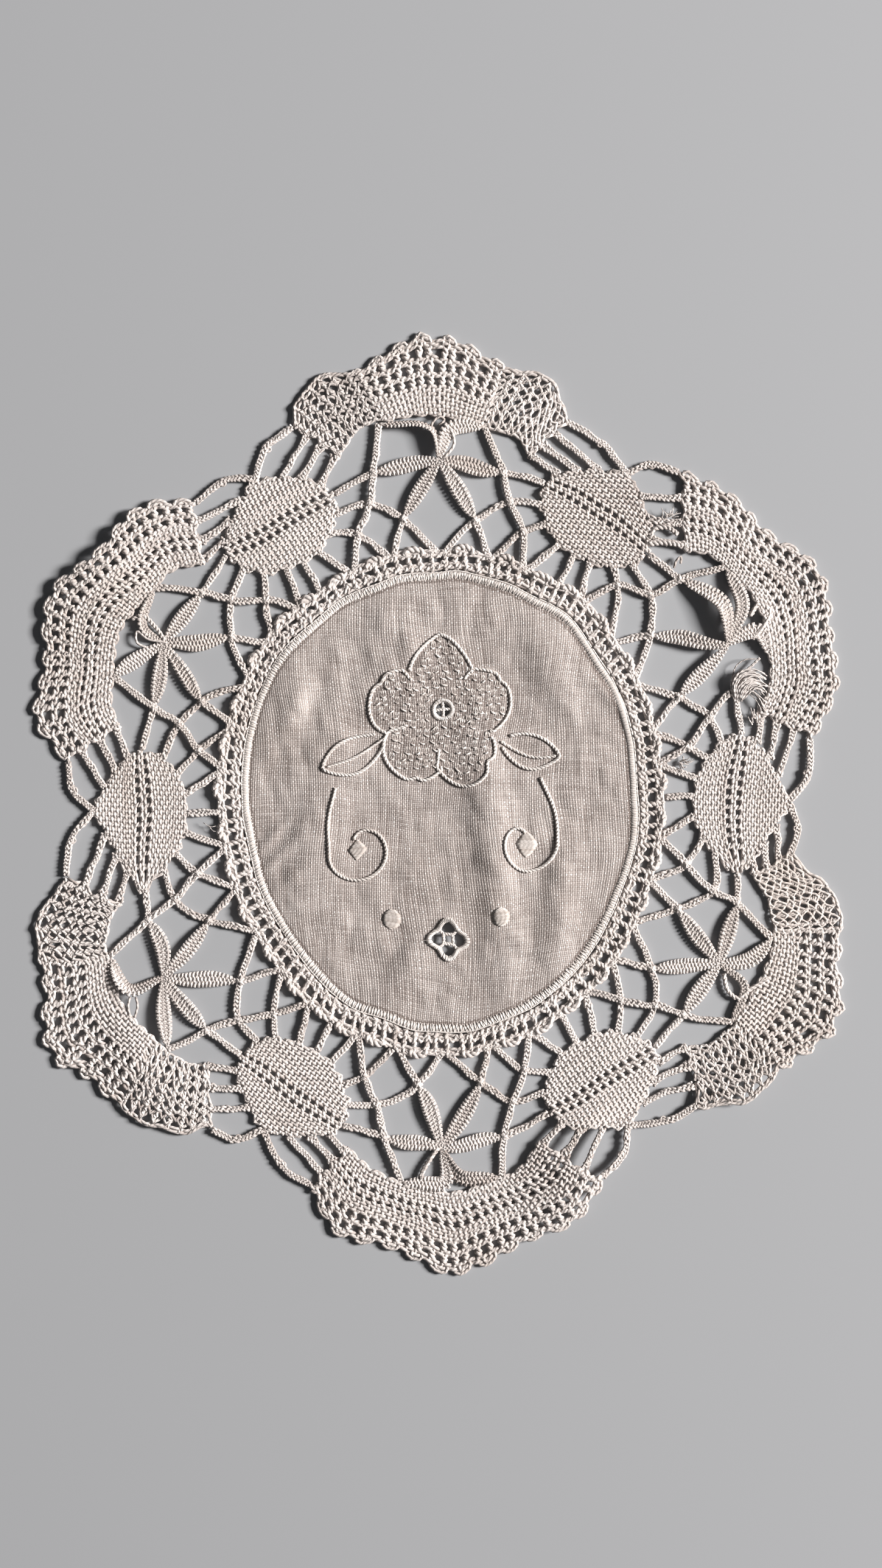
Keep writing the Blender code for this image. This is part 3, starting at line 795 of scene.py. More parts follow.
def laidOval(oval, u, v):
    # a necked end is drawn out and thinned towards its tip
    work = ovalWork
    for axis, end in ovalNecks:
        if axis == oval["axis"]:
            past = (end * u - work["neckFrom"]) / (work["neckTo"] - work["neckFrom"])
            past = np.clip(past, 0, 1)
            u = u + end * work["neckLong"] * past**1.5
            v = v * (1 - work["neckThin"] * past**2.5)
    return ovalPlan(oval, u, v)


def ovalPassives(oval, draw):
    # a thread along each row, clipped by the oval's edge: height = wave * cos of half a turn for
    # each pass and row
    work, threads = ovalWork, []
    whole = np.arange(0, 2 * work["passes"] + 2, 0.5)
    for k in range(len(oval["levels"])):
        u = whole * work["pass"] - work["half"]
        v = rowAt(oval, k, u)
        inside = np.flatnonzero(insideOval(u, v))
        if len(inside) < 4:
            continue
        run = slice(inside[0], inside[-1] + 1)
        n, u, v = whole[run], u[run], v[run]
        height = work["height"] + work["wave"] * np.cos(math.pi * (n + k))
        plan = laidOval(oval, u, v + ownWander(u, draw, 0.025))
        threads.append(strand(plan, height, work["passive"], draw, squash=0.75))
    return threads


def ovalWorkers(oval, draw):
    # a pair of workers goes up and down through the rows
    work, threads, levels = ovalWork, [], oval["levels"]
    step, number = work["pass"], np.arange(len(levels))
    for own in (-1, 1):
        path = []
        for k in range(1, work["passes"] + 1):
            centre, sign = step * (2 * k - 0.5) - work["half"], 1 - 2 * (k % 2)
            side = own * sign
            inside = np.flatnonzero(insideOval(centre, rowAt(oval, number, centre)))
            if len(inside) < 3:
                continue
            row, opened, turnSide, turnHeight, onRow = workerSteps(
                levels[inside], work["pitch"] * 1.5)
            row = row + inside[0]
            u = centre + side * (opened * step / 2 + work["rope"] * turnSide)
            height = workerHeight(work, row, k - 0.5, side, turnHeight, onRow)
            reaches = [
                (1.0 if side * way < 0 else 0.4) * way * sign * work["turn"]
                for way in (-sign, sign)]
            u, v = roundedEnds(
                u, rowAt(oval, row, centre), (centre - sign * step, centre + sign * step),
                reaches)
            part = np.column_stack([u, v, np.pad(height, 2)])
            path.append(part[::-1] if k % 2 else part)
        u, v, height = np.concatenate(path).T
        threads.append(strand(
            laidOval(oval, u, v), work["height"] + height, work["worker"], draw, squash=0.75))
    return threads


def makeOval(row, seed):
    draw = np.random.default_rng(seed)
    oval = planOval(row, draw)
    threads = ovalPassives(oval, draw) + ovalWorkers(oval, draw)
    return spin("oval_%d" % row["axis"], threads, lacePaint)


plaitJoin = 3.4     # how far outside the linen the plaits end
picotWork = {"out": 0.35, "size": 0.5, "radius": 0.2, "height": 0.6}
knotWork = {"half": 0.8, "high": 0.92, "fall": 0.42, "radius": 0.27, "uneven": 0.08}
# routes of the plaits at either side of a repeat, by its pins and the oval's, and their lift
net = rows("route lift", (
    ("corner side c1 c2 f1", 0.16), ("low f2", 0.0), ("side o1", 0.0),
    ("o2 c1 low fmid", -0.12), ("o3 c2 f2", -0.12), ("o4 f1", 0.0)))
# links from a fan's end to the oval: share of the end, the oval's pin, width and flare
links = rows("share pin half flare", (
    (0.3, "l2", 0.4, 0.5), (0.62, "l3", 0.45, 1.1), (0.92, "l4", 0.4, 0.9)))
neckClear = 2.4     # a plait to a necked oval ends this much short of it
tipBow = 1.6        # of the plait from a fan's foot to the oval's tip
# plaits broken off short of the fan's corner: repeat and side, and the loose end in plan
brokenPlaits = {(30, 1): (53.4, 19.2)}


def rimPoint(point, outward):
    # the place on a ring outside the linen nearest the line from the middle to a point
    return point / np.hypot(*(point / (halfAxes + outward)))


def picotOf(place, way, side, draw):
    # a tiny loop beside a plait, about two thirds of a circle
    work, way = picotWork, unit(way)
    out = -side * leftward(way)
    turn = np.linspace(-0.9, 1.9, 9) * math.pi / 2 + 0.6
    plan = place + out * (work["out"] + work["size"] * np.sin(turn))[:, None] \
        + way * (work["size"] * np.cos(turn))[:, None]
    return [strand(plan, work["height"], work["radius"], draw)]


def knotOf(place, draw):
    # the lump where two plaits are worked through each other: three short arched strands
    work, made, t = knotWork, [], np.linspace(-1, 1, 5)
    for turn in draw.uniform(0, math.pi) + np.arange(3) * math.pi / 3:
        plan = place + spoke(turn) * (work["half"] * t)[:, None]
        plan = plan + draw.normal(0, work["uneven"], 2)
        made.append(strand(plan, work["high"] - work["fall"] * t**2, work["radius"], draw))
    return made


def makePlaits(axis, seed):
    pins, draw, threads = allPins[axis], np.random.default_rng(seed), []
    for side in (-1, 1):
        at = {name: pins[name, side] for name in pricking}
        rim = {name: ovalPin(axis - 30 * side, name, -side) for name in ovalEdge}
        for row in net:
            line = [{**rim, **at}[name] for name in row["route"].split()]
            if row["route"].startswith("corner") and (axis, side) in brokenPlaits:
                line[0] = np.array(brokenPlaits[axis, side])
            if row["route"] != "side o1":
                line[-1] = rimPoint(line[-1], plaitJoin)
            elif ((axis - 30 * side) % 360, -side) in ovalNecks:
                line[1] = line[1] + neckClear * unit(line[0] - line[1])
            threads += plaitOf(curveThrough(line), draw, row["lift"])
        foot, middle = at["foot"], between(at["foot"], rim["tip"], 0.5, tipBow * side)
        threads += plaitOf(curveThrough([foot, middle, rim["tip"]]), draw)
        threads += picotOf(middle, rim["tip"] - foot, side, draw)
        for row in links:
            line = [between(foot, at["innerFoot"], row["share"]), rim[row["pin"]]]
            threads += plaitOf(curveThrough(line), draw, half=row["half"], flare=row["flare"])
        for name in ("side", "low", "c1", "c2"):
            threads += knotOf(at[name], draw)
    bar = ovalPin(axis - 30, "bar", 1)
    threads += plaitOf(curveThrough([bar, rimPoint(bar, footWork["barEnd"])]), draw)
    return spin("plaits_%d" % axis, threads, lacePaint)


leafWork = {
    "half": 1.12, "end": 0.3, "pass": 0.33, "worker": 0.235, "passive": 0.24, "wave": 0.16,
    "height": 0.62, "start": 0.03, "stop": 0.93, "cup": 0.12,
}
# leaves that differ: repeat, leaf, side, width, bow, how far it is rolled on edge
oddLeaves = rows("axis leaf side wide bow roll", (
    (90, "corner", -1, 0.5, 0.0, 0.9), (90, "corner", 1, 1.05, 0.0, 0.3),
    (150, "corner", 1, 0.42, 0.0, 0.4), (210, "corner", 1, 0.8, 0.0, 0.6),
    (270, "corner", 1, 0.9, 0.0, 0.0), (30, "side", 1, 0.0, 0.0, 0.0),
    (30, "side", -1, 1.0, 3.6, 0.3), (330, "corner", 1, 0.42, 0.0, 0.2),
    (270, "corner", -1, 1.0, 0.0, 0.3), (210, "side", 1, 1.0, -1.0, 0.0),
))


def leafOf(curve, draw, wide=1.0, roll=0.0):
    # a worker goes to and fro over three passives; half width = sin(pi * share^1.2)^0.65, fuller
    # outward, cupped with the square of the way from the middle and tilted by the roll
    work = leafWork
    span, points = work["stop"] - work["start"], np.linspace(0, 1, 60)
    lefts = leftOf(readCurve(curve, points))
    passes = int(curve["length"] * span / work["pass"])
    across = np.array([-1.0, -0.6, -0.3, 0.0, 0.3, 0.6, 1.0])
    over = np.array([0.0, 1.0, 0.0, -1.0, 0.0, 1.0, 0.0])
    k = np.arange(passes)[:, None]
    sign = 1 - 2 * (k % 2)

    def laid(share, side, height):
        at, inside = work["start"] + share * span, np.clip(share, 0, 1)
        left = np.stack([np.interp(at, points, part) for part in lefts.T], axis=-1)
        half = wide * work["half"] * np.sin(math.pi * inside ** 1.2) ** 0.65 + work["end"]
        tilt = roll * np.sin(math.pi * inside) ** 0.5
        level = side * half * np.cos(tilt) - height * np.sin(tilt)
        high = side * half * np.sin(tilt) + height * np.cos(tilt) \
            + work["cup"] * side**2 * half + 0.6 * half * np.sin(tilt)
        return readCurve(curve, at) + left * level[:, None], work["height"] + high

    way = laid(
        ((k + 0.5 + 0.32 * across) / passes).ravel(), (sign * across).ravel(),
        (work["wave"] * sign * over).ravel())
    threads = [strand(*way, work["worker"], draw, squash=0.8)]
    ends = np.linspace(-0.12, 1.09, 22)
    pinch = 1 - 0.85 * smooth((np.abs(ends - 0.5) - 0.44) / 0.14)
    for side in (-0.62, 0.0, 0.62):
        threads.append(strand(*laid(ends, side * pinch, -0.02), work["passive"], draw))
    return threads


def makeLeaves(axis, seed):
    pins, draw, threads = allPins[axis], np.random.default_rng(seed), []
    odd = {(row["axis"], row["leaf"], row["side"]): row for row in oddLeaves}
    plain = {"wide": 1.0, "bow": 0.0, "roll": 0.0}
    centre = pins["centre", 1]
    for side in (-1, 1):
        for leaf in ("side", "low", "corner"):
            look, end = odd.get((axis, leaf, side), plain), pins[leaf, side]
            if look["wide"] == 0:
                continue
            middle = allKnees[axis][side] if leaf == "corner" else between(
                centre, end, 0.5, side * (look["bow"] + draw.uniform(-0.3, 0.3)))
            wide, roll = look["wide"] * draw.uniform(0.92, 1.06), look["roll"]
            threads += leafOf(
                curveThrough([centre, middle, end]), draw, wide, roll + draw.uniform(-0.1, 0.1))
    return spin("leaves_%d" % axis, threads, lacePaint)


footWork = {
    "bars": 124, "bar": 0.34, "barApart": 0.24, "barStart": 0.15, "barEnd": 4.2,
    "barHeight": 0.55, "follow": 0.6, "height": 0.52, "weaver": 0.3, "points": 496, "waves": 62,
}
loopWork = {"on": 3.65, "rise": 1.05, "gap": 4.2, "clear": 0.9, "half": (1.1, 1.5), "sunk": 0.2}
loopTwist = {"radius": 0.4, "apart": 0.3, "twist": 2.1, "height": 0.7}
# passives round the linen: how far out, their numbers' wobble, how closely they follow its edge,
# and how they weave
passives = rows("at wobble seed follow wave lift radius squash", (
    ((0.5, 1.0, 1.5), 0.07, 3, 1.0, 0.13, 0.0, 0.31, 0.75),
    ((3.2, 3.65, 4.1), 0.09, 7, footWork["follow"], 0.15, 0.05, 0.33, 0.8)))
# the pair that goes to and fro with each bar: middle, how far, following the edge, seed
weavers = rows("middle reach follow seed", (
    (1.2, 0.62, 1.0, 31), (3.6, 0.55, footWork["follow"], 32)))


def ringPath(outward, count=240, wobble=0.0, seed=1, follow=1.0):
    # the linen's oval moved outward square to itself, following its edge's wander
    turn = np.arange(count) * math.tau / count
    circle = spoke(turn)
    square = circle / halfAxes
    square /= np.linalg.norm(square, axis=1)[:, None]
    draw = np.random.default_rng(seed)
    shift = wobble * sum(np.sin(turn * k + anyPhase(draw)) for k in (17, 29, 41))
    return circle * halfAxes + square * (outward + shift + follow * hemSlip(turn))[:, None]


def makeFootside(seed):
    # inner and outer passives that the bars are woven through, and a weaver along each
    work, draw, threads = footWork, np.random.default_rng(seed), []
    count = work["points"]
    weave = np.arange(count) * math.tau * work["waves"] / count
    for row in passives:
        for number, at in enumerate(row["at"]):
            ring = ringPath(at, count, row["wobble"], row["seed"] + number, row["follow"])
            lift = row["wave"] * np.cos(weave + number * math.pi) + row["lift"]
            threads.append(strand(
                ring, work["height"] + lift, row["radius"], draw, closed=True,
                squash=row["squash"]))
    turn = np.arange(2 * count) * math.tau * work["bars"] / (2 * count)
    for row in weavers:
        outward = row["middle"] + row["reach"] * np.cos(turn)
        ring = ringPath(outward, 2 * count, 0.08, row["seed"], row["follow"])
        lift = 0.12 + 0.16 * np.cos(2 * turn + 0.7)
        threads.append(strand(ring, work["height"] + lift, work["weaver"], draw, closed=True))
    inner = curveThrough(ringPath(work["barStart"]), closed=True)
    beyond = curveThrough(ringPath(work["barEnd"], follow=work["follow"]), closed=True)
    lean = makeWaves(61, 5, 20.0, 60.0, 0.9)
    for k in range(work["bars"]):
        share = (k + draw.uniform(-0.16, 0.16)) / work["bars"]
        a = readCurve(inner, share % 1)
        slant = pushOf(a[None], lean)[0, 0] / beyond["length"]
        b = readCurve(beyond, (share + slant + draw.uniform(-0.0008, 0.0008)) % 1)
        bar = curveThrough([a, between(a, b, 0.5, draw.uniform(-0.15, 0.15)), b])
        threads += twistOf(
            bar, draw, work["bar"] * draw.uniform(0.9, 1.12), work["barApart"],
            draw.uniform(1.7, 2.3), work["barHeight"], turn=anyPhase(draw))
    return spin("footside", threads, lacePaint)


def makeLoops(seed):
    # rounded loops on the footside between the places where the plaits join it, as far out as
    # rise * sin(pi * t)^0.7 less how far they are sunk in it
    work, draw, threads = loopWork, np.random.default_rng(seed), []
    outer = curveThrough(ringPath(work["on"], follow=footWork["follow"]), closed=True)
    joins = []
    for axis, pins in allPins.items():
        joins += [pins[name, side] for name in ("f1", "f2") for side in (-1, 1)]
        joins += [pins["fmid", 1], rimPoint(ovalPin(axis - 30, "bar", 1), footWork["barEnd"])]
    apart = np.linalg.norm(outer["line"][None] - np.array(joins)[:, None], axis=2)
    at = np.sort(outer["way"][apart.argmin(axis=1)])
    t = np.linspace(0, 1, 19)
    for a, b in zip(at, np.append(at[1:], at[0] + outer["length"])):
        if b - a < work["gap"]:
            continue
        half = np.clip((b - a) / 2 - work["clear"], *work["half"]) * draw.uniform(0.9, 1.1)
        middle = (a + b) / 2 + draw.uniform(-0.5, 0.5)
        way = (middle - half * np.cos(math.pi * t)) % outer["length"]
        base = readCurve(outer, way / outer["length"])
        rise = work["rise"] * draw.uniform(0.8, 1.15) * np.sin(math.pi * t) ** 0.7 - work["sunk"]
        plan = base + unit(base / halfAxes**2) * rise[:, None]
        threads += twistOf(curveThrough(plan), draw, **loopTwist)
    return spin("foot_loops", threads, lacePaint)


# loose and doubled strands: thickness, whether a twisted pair, then their points in plan
strays = rows("radius twisted points", (
    (0.3, True, ((-0.6, -62.3), (-2.2, -64.6), (-3.4, -66.6), (-3.9, -67.8))),
    (0.3, True, ((37.7, 48.0), (38.3, 49.7), (40.7, 50.0), (42.6, 48.4))),
    (0.32, True, ((37.4, 47.0), (40.0, 47.2), (43.6, 46.0))),
    (0.3, False, ((-0.1, 61.6), (1.9, 64.1), (1.4, 66.9), (0.6, 68.4))),
    (0.24, False, ((-2.1, 67.2), (-1.6, 68.4), (-0.1, 69.4), (0.4, 68.9), (-0.6, 67.9))),
    (0.26, True, ((-49.8, 28.8), (-51.8, 31.8), (-54.1, 34.1), (-55.8, 33.3))),
    (0.24, False, ((-49.3, 28.3), (-53.3, 29.6), (-55.1, 31.1), (-55.3, 29.1), (-53.3, 27.8))),
    (0.24, False, ((-56.2, -34.7), (-56.6, -36.2), (-56.4, -38.2))),
    (0.24, False, ((-55.2, -34.7), (-54.9, -36.2), (-55.5, -38.4))),
    (0.28, True, ((50.7, -30.8), (51.4, -33.8), (53.2, -35.3), (55.7, -33.5), (58.6, -31.8))),
    (0.24, False, ((41.9, 42.2), (42.4, 43.5), (43.2, 44.1), (43.1, 42.9))),
    (0.28, True, ((55.8, 29.0), (57.8, 31.6), (59.0, 34.4), (57.2, 35.6), (55.4, 33.2))),
    (0.07, False, ((-42.9, -3.4), (-41.6, -4.2), (-40.6, -4.0))),
    (0.07, False, ((-42.0, -3.9), (-41.2, -5.0), (-40.2, -5.1))),
    (0.11, False, ((52.1, 21.6), (53.0, 24.2), (54.6, 25.3), (56.4, 25.7))),
    (0.16, True, ((54.6, 23.4), (55.8, 24.6), (57.0, 26.0))),
))
# frayed ends: place, the way they point, spread, length and number of fibres
tufts = rows("at turn spread length count", (
    ((43.0, 7.4), 320, 50, 1.9, 12), ((40.6, 51.7), 20, 80, 2.0, 14),
    ((56.0, 14.6), 100, 40, 2.6, 12)))
# fibres of a broken plait swept to one side: how many, their thickness and the spray's two edges
sprays = rows("count radius left right", (
    (44, 0.17, ((52.5, 18.4), (52.0, 21.4), (53.2, 23.3), (55.4, 24.0), (58.2, 23.0)),
        ((53.8, 18.2), (54.9, 19.6), (55.9, 20.4), (57.0, 20.6), (58.4, 19.6))),
    (7, 0.15, ((53.2, 18.6), (54.4, 20.3), (56.3, 19.5), (57.4, 17.6), (58.0, 15.8)),
        ((53.6, 18.2), (55.0, 19.7), (56.5, 18.9), (57.9, 17.4), (58.6, 15.9))),
))
strayWork = {
    "height": 0.7, "arch": 0.2, "step": 0.35, "twist": 1.7, "points": 14, "fray": 0.12,
    "sprayTone": 0.14, "tuft": 0.16, "tuftThin": 0.1, "tuftTone": 0.16,
}


def strayOf(row, draw):
    work, curve, radius = strayWork, curveThrough(row["points"]), row["radius"]
    if row["twisted"]:
        return twistOf(curve, draw, radius, 0.8 * radius, work["twist"], work["height"])
    share = np.linspace(0, 1, max(int(curve["length"] / work["step"]), 5))
    height = work["height"] + 0.05 + work["arch"] * np.sin(math.pi * share)
    return [strand(readCurve(curve, share), height, radius, draw)]


def sprayOf(row, draw):
    # each fibre runs a share across from the left edge to the right one, and thins along its way
    work, threads = strayWork, []
    left, right = curveThrough(row["left"]), curveThrough(row["right"])
    for across in draw.uniform(0, 1, row["count"]):
        share = np.linspace(0, draw.uniform(0.7, 1.0), work["points"])
        plan = (1 - across) * readCurve(left, share) + across * readCurve(right, share) \
            + draw.normal(0, work["fray"], 2) * np.linspace(1, 3, work["points"])[:, None]
        height = work["height"] + draw.uniform(0.3, 1.1) * np.sin(math.pi * share) ** 0.8
        thick = row["radius"] * (1 - 0.45 * share)
        threads.append(strand(plan, height, thick, draw, work["sprayTone"]))
    return threads


def tuftOf(row, draw):
    # each fibre goes by even steps whose turn bends with the square of the way, and thins
    work, threads, t = strayWork, [], np.linspace(0, 1, 8)
    for turn in range(row["count"]):
        turn = math.radians(row["turn"] + row["spread"] * draw.uniform(-1, 1))
        step = row["length"] * draw.uniform(0.45, 1.0) / len(t)
        way = spoke(turn + draw.uniform(-0.9, 0.9) * t**2) * step
        plan = row["at"] + draw.normal(0, 0.4, 2) + np.cumsum(way, axis=0)
        height = work["height"] + draw.uniform(-0.2, 0.8) * np.sin(0.6 * math.pi * t)
        thick = work["tuft"] - work["tuftThin"] * t
        threads.append(strand(plan, height, thick, draw, work["tuftTone"]))
    return threads


def handOver(pieces, node):
    for piece in pieces:
        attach(piece, "root")
        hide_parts(node)


lacePieces = []
for number, row in enumerate(fans):
    lacePieces.append(makeFan(row, 100 + number))
    lacePieces.append(makePlaits(row["axis"], 200 + number))
    lacePieces.append(makeLeaves(row["axis"], 300 + number))
for number, row in enumerate(ovals):
    lacePieces.append(makeOval(row, 400 + number))
lacePieces += [makeFootside(501), makeLoops(502)]
lacePieces.append(spinRows(
    "loose_threads", lacePaint, 503, (strayOf, strays), (sprayOf, sprays), (tuftOf, tufts)))
handOver(lacePieces, "lace_edging")
print("lace made")

whitePaint = threadPaint("white_thread_paint", {
    **threadLook, "pale": (0.88, 0.83, 0.80, 1), "deep": (0.48, 0.42, 0.385, 1), "ply": 0.8,
    "plyDepth": 0.00004})
hemPaint = threadPaint("hem_paint", {
    **threadLook, "pale": (0.80, 0.735, 0.70, 1), "deep": (0.42, 0.36, 0.325, 1), "ply": 0.43,
    "plyDepth": 0.00005})
linenWork = {
    "halfGrid": (38.0, 43.5), "cell": 0.55, "thick": 0.3, "height": 0.5, "underHem": 0.8,
    "holeInset": 0.15, "puff": 0.16, "quilt": 0.07, "quiltStep": (1.8, 2.9),
}
linenLook = {
    "pale": (0.64, 0.573, 0.543, 1), "deep": (0.24, 0.195, 0.177, 1),
    "stain": (0.40, 0.335, 0.30, 1), "glint": (0.97, 0.94, 0.92, 1), "stained": 0.35,
    "glinting": 0.8, "roughness": 0.7, "sheen": 0.15, "warp": 0.42, "weft": 0.35,
    "slub": (2.2, 0.10), "uneven": 0.42, "bend": 1.1, "cloud": 0.9, "fuzz": 0.8,
    "warpSlub": 1.1, "weftSlub": 0.65, "paintedShade": 1.5, "grooveAt": 1.7, "flower": 0.2,
    "depth": 0.0001,
}
stitchHeight = 0.8      # of the embroidery over the surface
# holes worked in the linen: middle, the border's reach and how far its four lobes rise
eyelets = rows("at reach lobe border", (
    ((-0.1, 16.4), 1.66, 0.0, 0.62), ((0.95, -24.8), 3.0, 0.5, 0.82)))
eye, lower = (np.array(row["at"]) for row in eyelets)
# petals round the eye: middle turn, half width in degrees, reach, how far it falls at the sides
# and how soon, a notch in its edge, and how far the cord runs in at each end
petals = rows("turn half reach fall power notch notchAt first last", (
    (92, 36, 14.0, 0.31, 1.15, 0.0, 0.0, 2.6, 0.3),
    (169, 35, 13.3, 0.22, 2.0, 0.6, -15.0, 2.4, 0.0),
    (237, 34, 13.8, 0.25, 2.2, 0.7, 13.0, 3.6, 0.4),
    (300, 33, 14.4, 0.28, 1.8, 1.2, 14.0, 3.4, 0.6),
    (17, 38, 12.6, 0.23, 2.0, 0.5, 10.0, 0.6, 0.9),
))
# leaves beside the flower: base, tip, half width above and below, bend of the rib
sprigs = rows("base tip above below bend", (
    ((-9.8, 11.6), (-21.6, 6.0), 3.2, 3.3, -0.4), ((10.6, 11.0), (20.9, 8.0), 2.9, 3.2, -1.0)))
# curled stems: where they start, a point on the way, and the curl's middle, first and last
# turn, reach and how much of it is lost at the very end
stems = rows("start via middle first last reach shrink", (
    ((-19.2, 2.6), (-20.6, -3.6), (-15.2, -9.0), 176, 468, 5.2, 0.38),
    ((17.6, 4.6), (20.4, -2.2), (15.7, -7.3), 4, -253, 5.0, 0.45),
))
# satin patches: middle, half sizes, shape power (1 a diamond, 2 an oval) and turn of the stitches
patches = rows("at wide tall power turn", (
    ((-15.3, -8.5), 1.9, 1.8, 1.15, 90), ((15.2, -7.3), 2.2, 2.0, 1.4, 88),
    ((-9.0, -20.9), 1.7, 1.75, 2.0, 82), ((10.4, -20.4), 1.75, 1.75, 2.0, 95),
))
weaveDrift = makeWaves(71, 6, 34.0, 80.0, 1.3)


def polar(middle, reach, turn):
    return middle + np.asarray(reach)[..., None] * spoke(turn)


def awayFrom(middle, plan):
    # how far places are from a middle, and their turns round it
    x, y = (plan - middle).T
    return np.hypot(x, y), np.arctan2(y, x)


def petalReach(row, turn):
    # reach * (1 - fall * (off the middle / half) ^ power), less a bell for the notch
    off = (np.degrees(turn) - row["turn"] + 180) % 360 - 180
    side = np.abs(off) / row["half"]
    return row["reach"] * (1 - row["fall"] * side ** row["power"]) \
        - row["notch"] * np.exp(-((off - row["notchAt"]) / 4.0) ** 2), side


def insideFlower(plan, margin):
    # 1 within a petal's edge less the margin, falling to 0 over a millimetre
    (reach, turn), inside = awayFrom(eye, plan), np.zeros(len(plan))
    for row in petals:
        edge, side = petalReach(row, turn)
        inside = np.maximum(inside, np.clip(edge - margin - reach, 0, 1) * (side < 1.02))
    return inside


def eyeletShare(row, plan):
    # 1 on the hole's outline: reach + lobe * cos of four turns, less the inset
    reach, turn = awayFrom(row["at"], plan)
    edge = row["reach"] + row["lobe"] * np.cos(4 * turn) - linenWork["holeInset"]
    return reach / edge


def linenPaint():
    # plain weave: warp = |sin a|, weft = |sin b|, whichever is over by the sign of sin a * sin b
    look = linenLook
    material, shader, place = newPaint("linen_paint", look["roughness"], look["sheen"])
    along, tone = readMesh(place)
    x, y = along.split()[:2]
    slubs = [
        along.node("ShaderNodeMapping", {}, {"Vector": along, "Scale": scale}).noise(1.0, 2.0, 0.6)
        for scale in ((*look["slub"], 1.0), (*look["slub"][::-1], 1.0))]
    bend = (along.noise(0.085, 0.0) - 0.5) * look["bend"]
    a, b = (
        ((at + (slub - 0.5) * look["uneven"] + bend) * (math.pi / look[pitch])).sin()
        for at, slub, pitch in zip((x, y), slubs, ("warp", "weft")))
    over = a * b
    warp = a.abs() * (0.68 + over * 0.32) * (0.35 + slubs[0] * 1.3)
    weft = b.abs() * (0.52 - over * 0.32) * (0.35 + slubs[1] * 1.3)
    relief = warp.max(weft).max(0.22)
    # glint: white specks where the warp lies over: painted highlight
    glint = (along.noise(1.7, 1.0, 0.6) * 5.0 - 2.3).share() * (warp * over * 3.2 - 0.7).share()
    cloud, fuzz = place.noise(90.0, 4.0, 0.65), place.noise(4200.0, 2.0, 0.6)
    # painted shade: a dotted dark line where the hem's stitches go in, and darker linen inside the
    # flower; the tone holds millimetres from the edge, and 10 more inside the flower
    paintedShade = (1.2 - (tone - look["grooveAt"]).abs() * 3.6).share() * (1.25 - relief).share()
    # the weave's relief sets the colour: the thread on top and the crowns lighter, the gaps
    # between threads darker: painted shade
    shade = relief * 1.05 - 0.02 + (cloud - 0.5) * look["cloud"] + (fuzz - 0.5) * look["fuzz"] \
        + (slubs[0] - 0.5) * look["warpSlub"] + (slubs[1] - 0.5) * look["weftSlub"] \
        - (paintedShade + (tone * 0.1 - 0.5).share() * look["flower"]) * look["paintedShade"]
    colour = shade.share().mixed(look["deep"], look["pale"])
    colour = (place.patches(30.0, 1.5) * look["stained"]).mixed(colour, look["stain"])
    colour = (glint * look["glinting"]).mixed(colour, look["glint"])
    finishPaint(shader, colour, relief + fuzz * 0.15, look["depth"])
    return material


def makeLinen():
    # a grid cut to the hem's oval and to the eyelets, its edge points drawn onto their outlines
    # by dividing their way from the middle by their share of it; the flower is puffed up by
    # puff + quilt * cos * cos
    work = linenWork
    x, y = (np.arange(-half, half + 0.1, work["cell"]) for half in work["halfGrid"])
    plan = np.stack(np.meshgrid(x, y), axis=-1).reshape(-1, 2)
    first = (np.arange(len(y) - 1)[:, None] * len(x) + np.arange(len(x) - 1)).ravel()
    quads = np.stack([first, first + 1, first + 1 + len(x), first + len(x)], axis=-1)
    middle = plan[quads].mean(axis=1)
    keep = hemShare(middle, work["underHem"]) < 1
    plan = plan / np.maximum(hemShare(plan, work["underHem"]), 1.0)[:, None]
    for row in eyelets:
        keep &= eyeletShare(row, middle) > 1
        share = np.clip(eyeletShare(row, plan), 0.05, 1.0)
        plan = row["at"] + (plan - row["at"]) / share[:, None]
    used, quads = np.unique(quads[keep], return_inverse=True)
    plan, quads = plan[used], quads.reshape(-1, 4)
    flower = insideFlower(plan, 0.3)
    quilt = np.cos(math.tau * plan / work["quiltStep"]).prod(axis=1)
    height = work["height"] + flower * (work["puff"] + work["quilt"] * quilt)
    share = hemShare(plan, 0.0)
    fromHem = (1 - share) * np.linalg.norm(plan, axis=1) / np.maximum(share, 0.01)
    weave = plan + pushOf(plan, weaveDrift)
    linen = putMesh(
        "linen", settled(lifted(plan, height)), quads, np.zeros((0, 4), dtype=int),
        weave[quads.ravel()], np.minimum(fromHem, 5.0) + 10.0 * flower, linenPaint())
    wall = linen.modifiers.new("thickness", "SOLIDIFY")
    wall.thickness, wall.offset = work["thick"] * mm, 0.0
    print("linen", len(quads), "cells")
    return linen


hemWork = {
    "inset": 0.72, "radius": 0.72, "squash": 0.5, "height": 0.5, "stitches": 384,
    "stitch": 0.13, "lowest": 0.15, "boldest": 225.0, "edge": 0.15, "edgeInset": 0.08,
    "edgeHeight": 0.72, "points": 480,
}
# turns of an overcast stitch round the roll, from below inside to below outside
overcast = np.radians([205.0, 165.0, 130.0, 95.0, 60.0, 25.0, -10.0, -40.0])


def makeHem():
    # a rolled edge: an oval profile carried round
    work, draw = hemWork, np.random.default_rng(601)
    ring = ringPath(-work["inset"], work["points"], 0.02, 5)
    roll = strand(
        ring, work["height"], work["radius"], draw, closed=True, squash=work["squash"])
    return spin("hem_roll", [roll], hemPaint, sides=12)


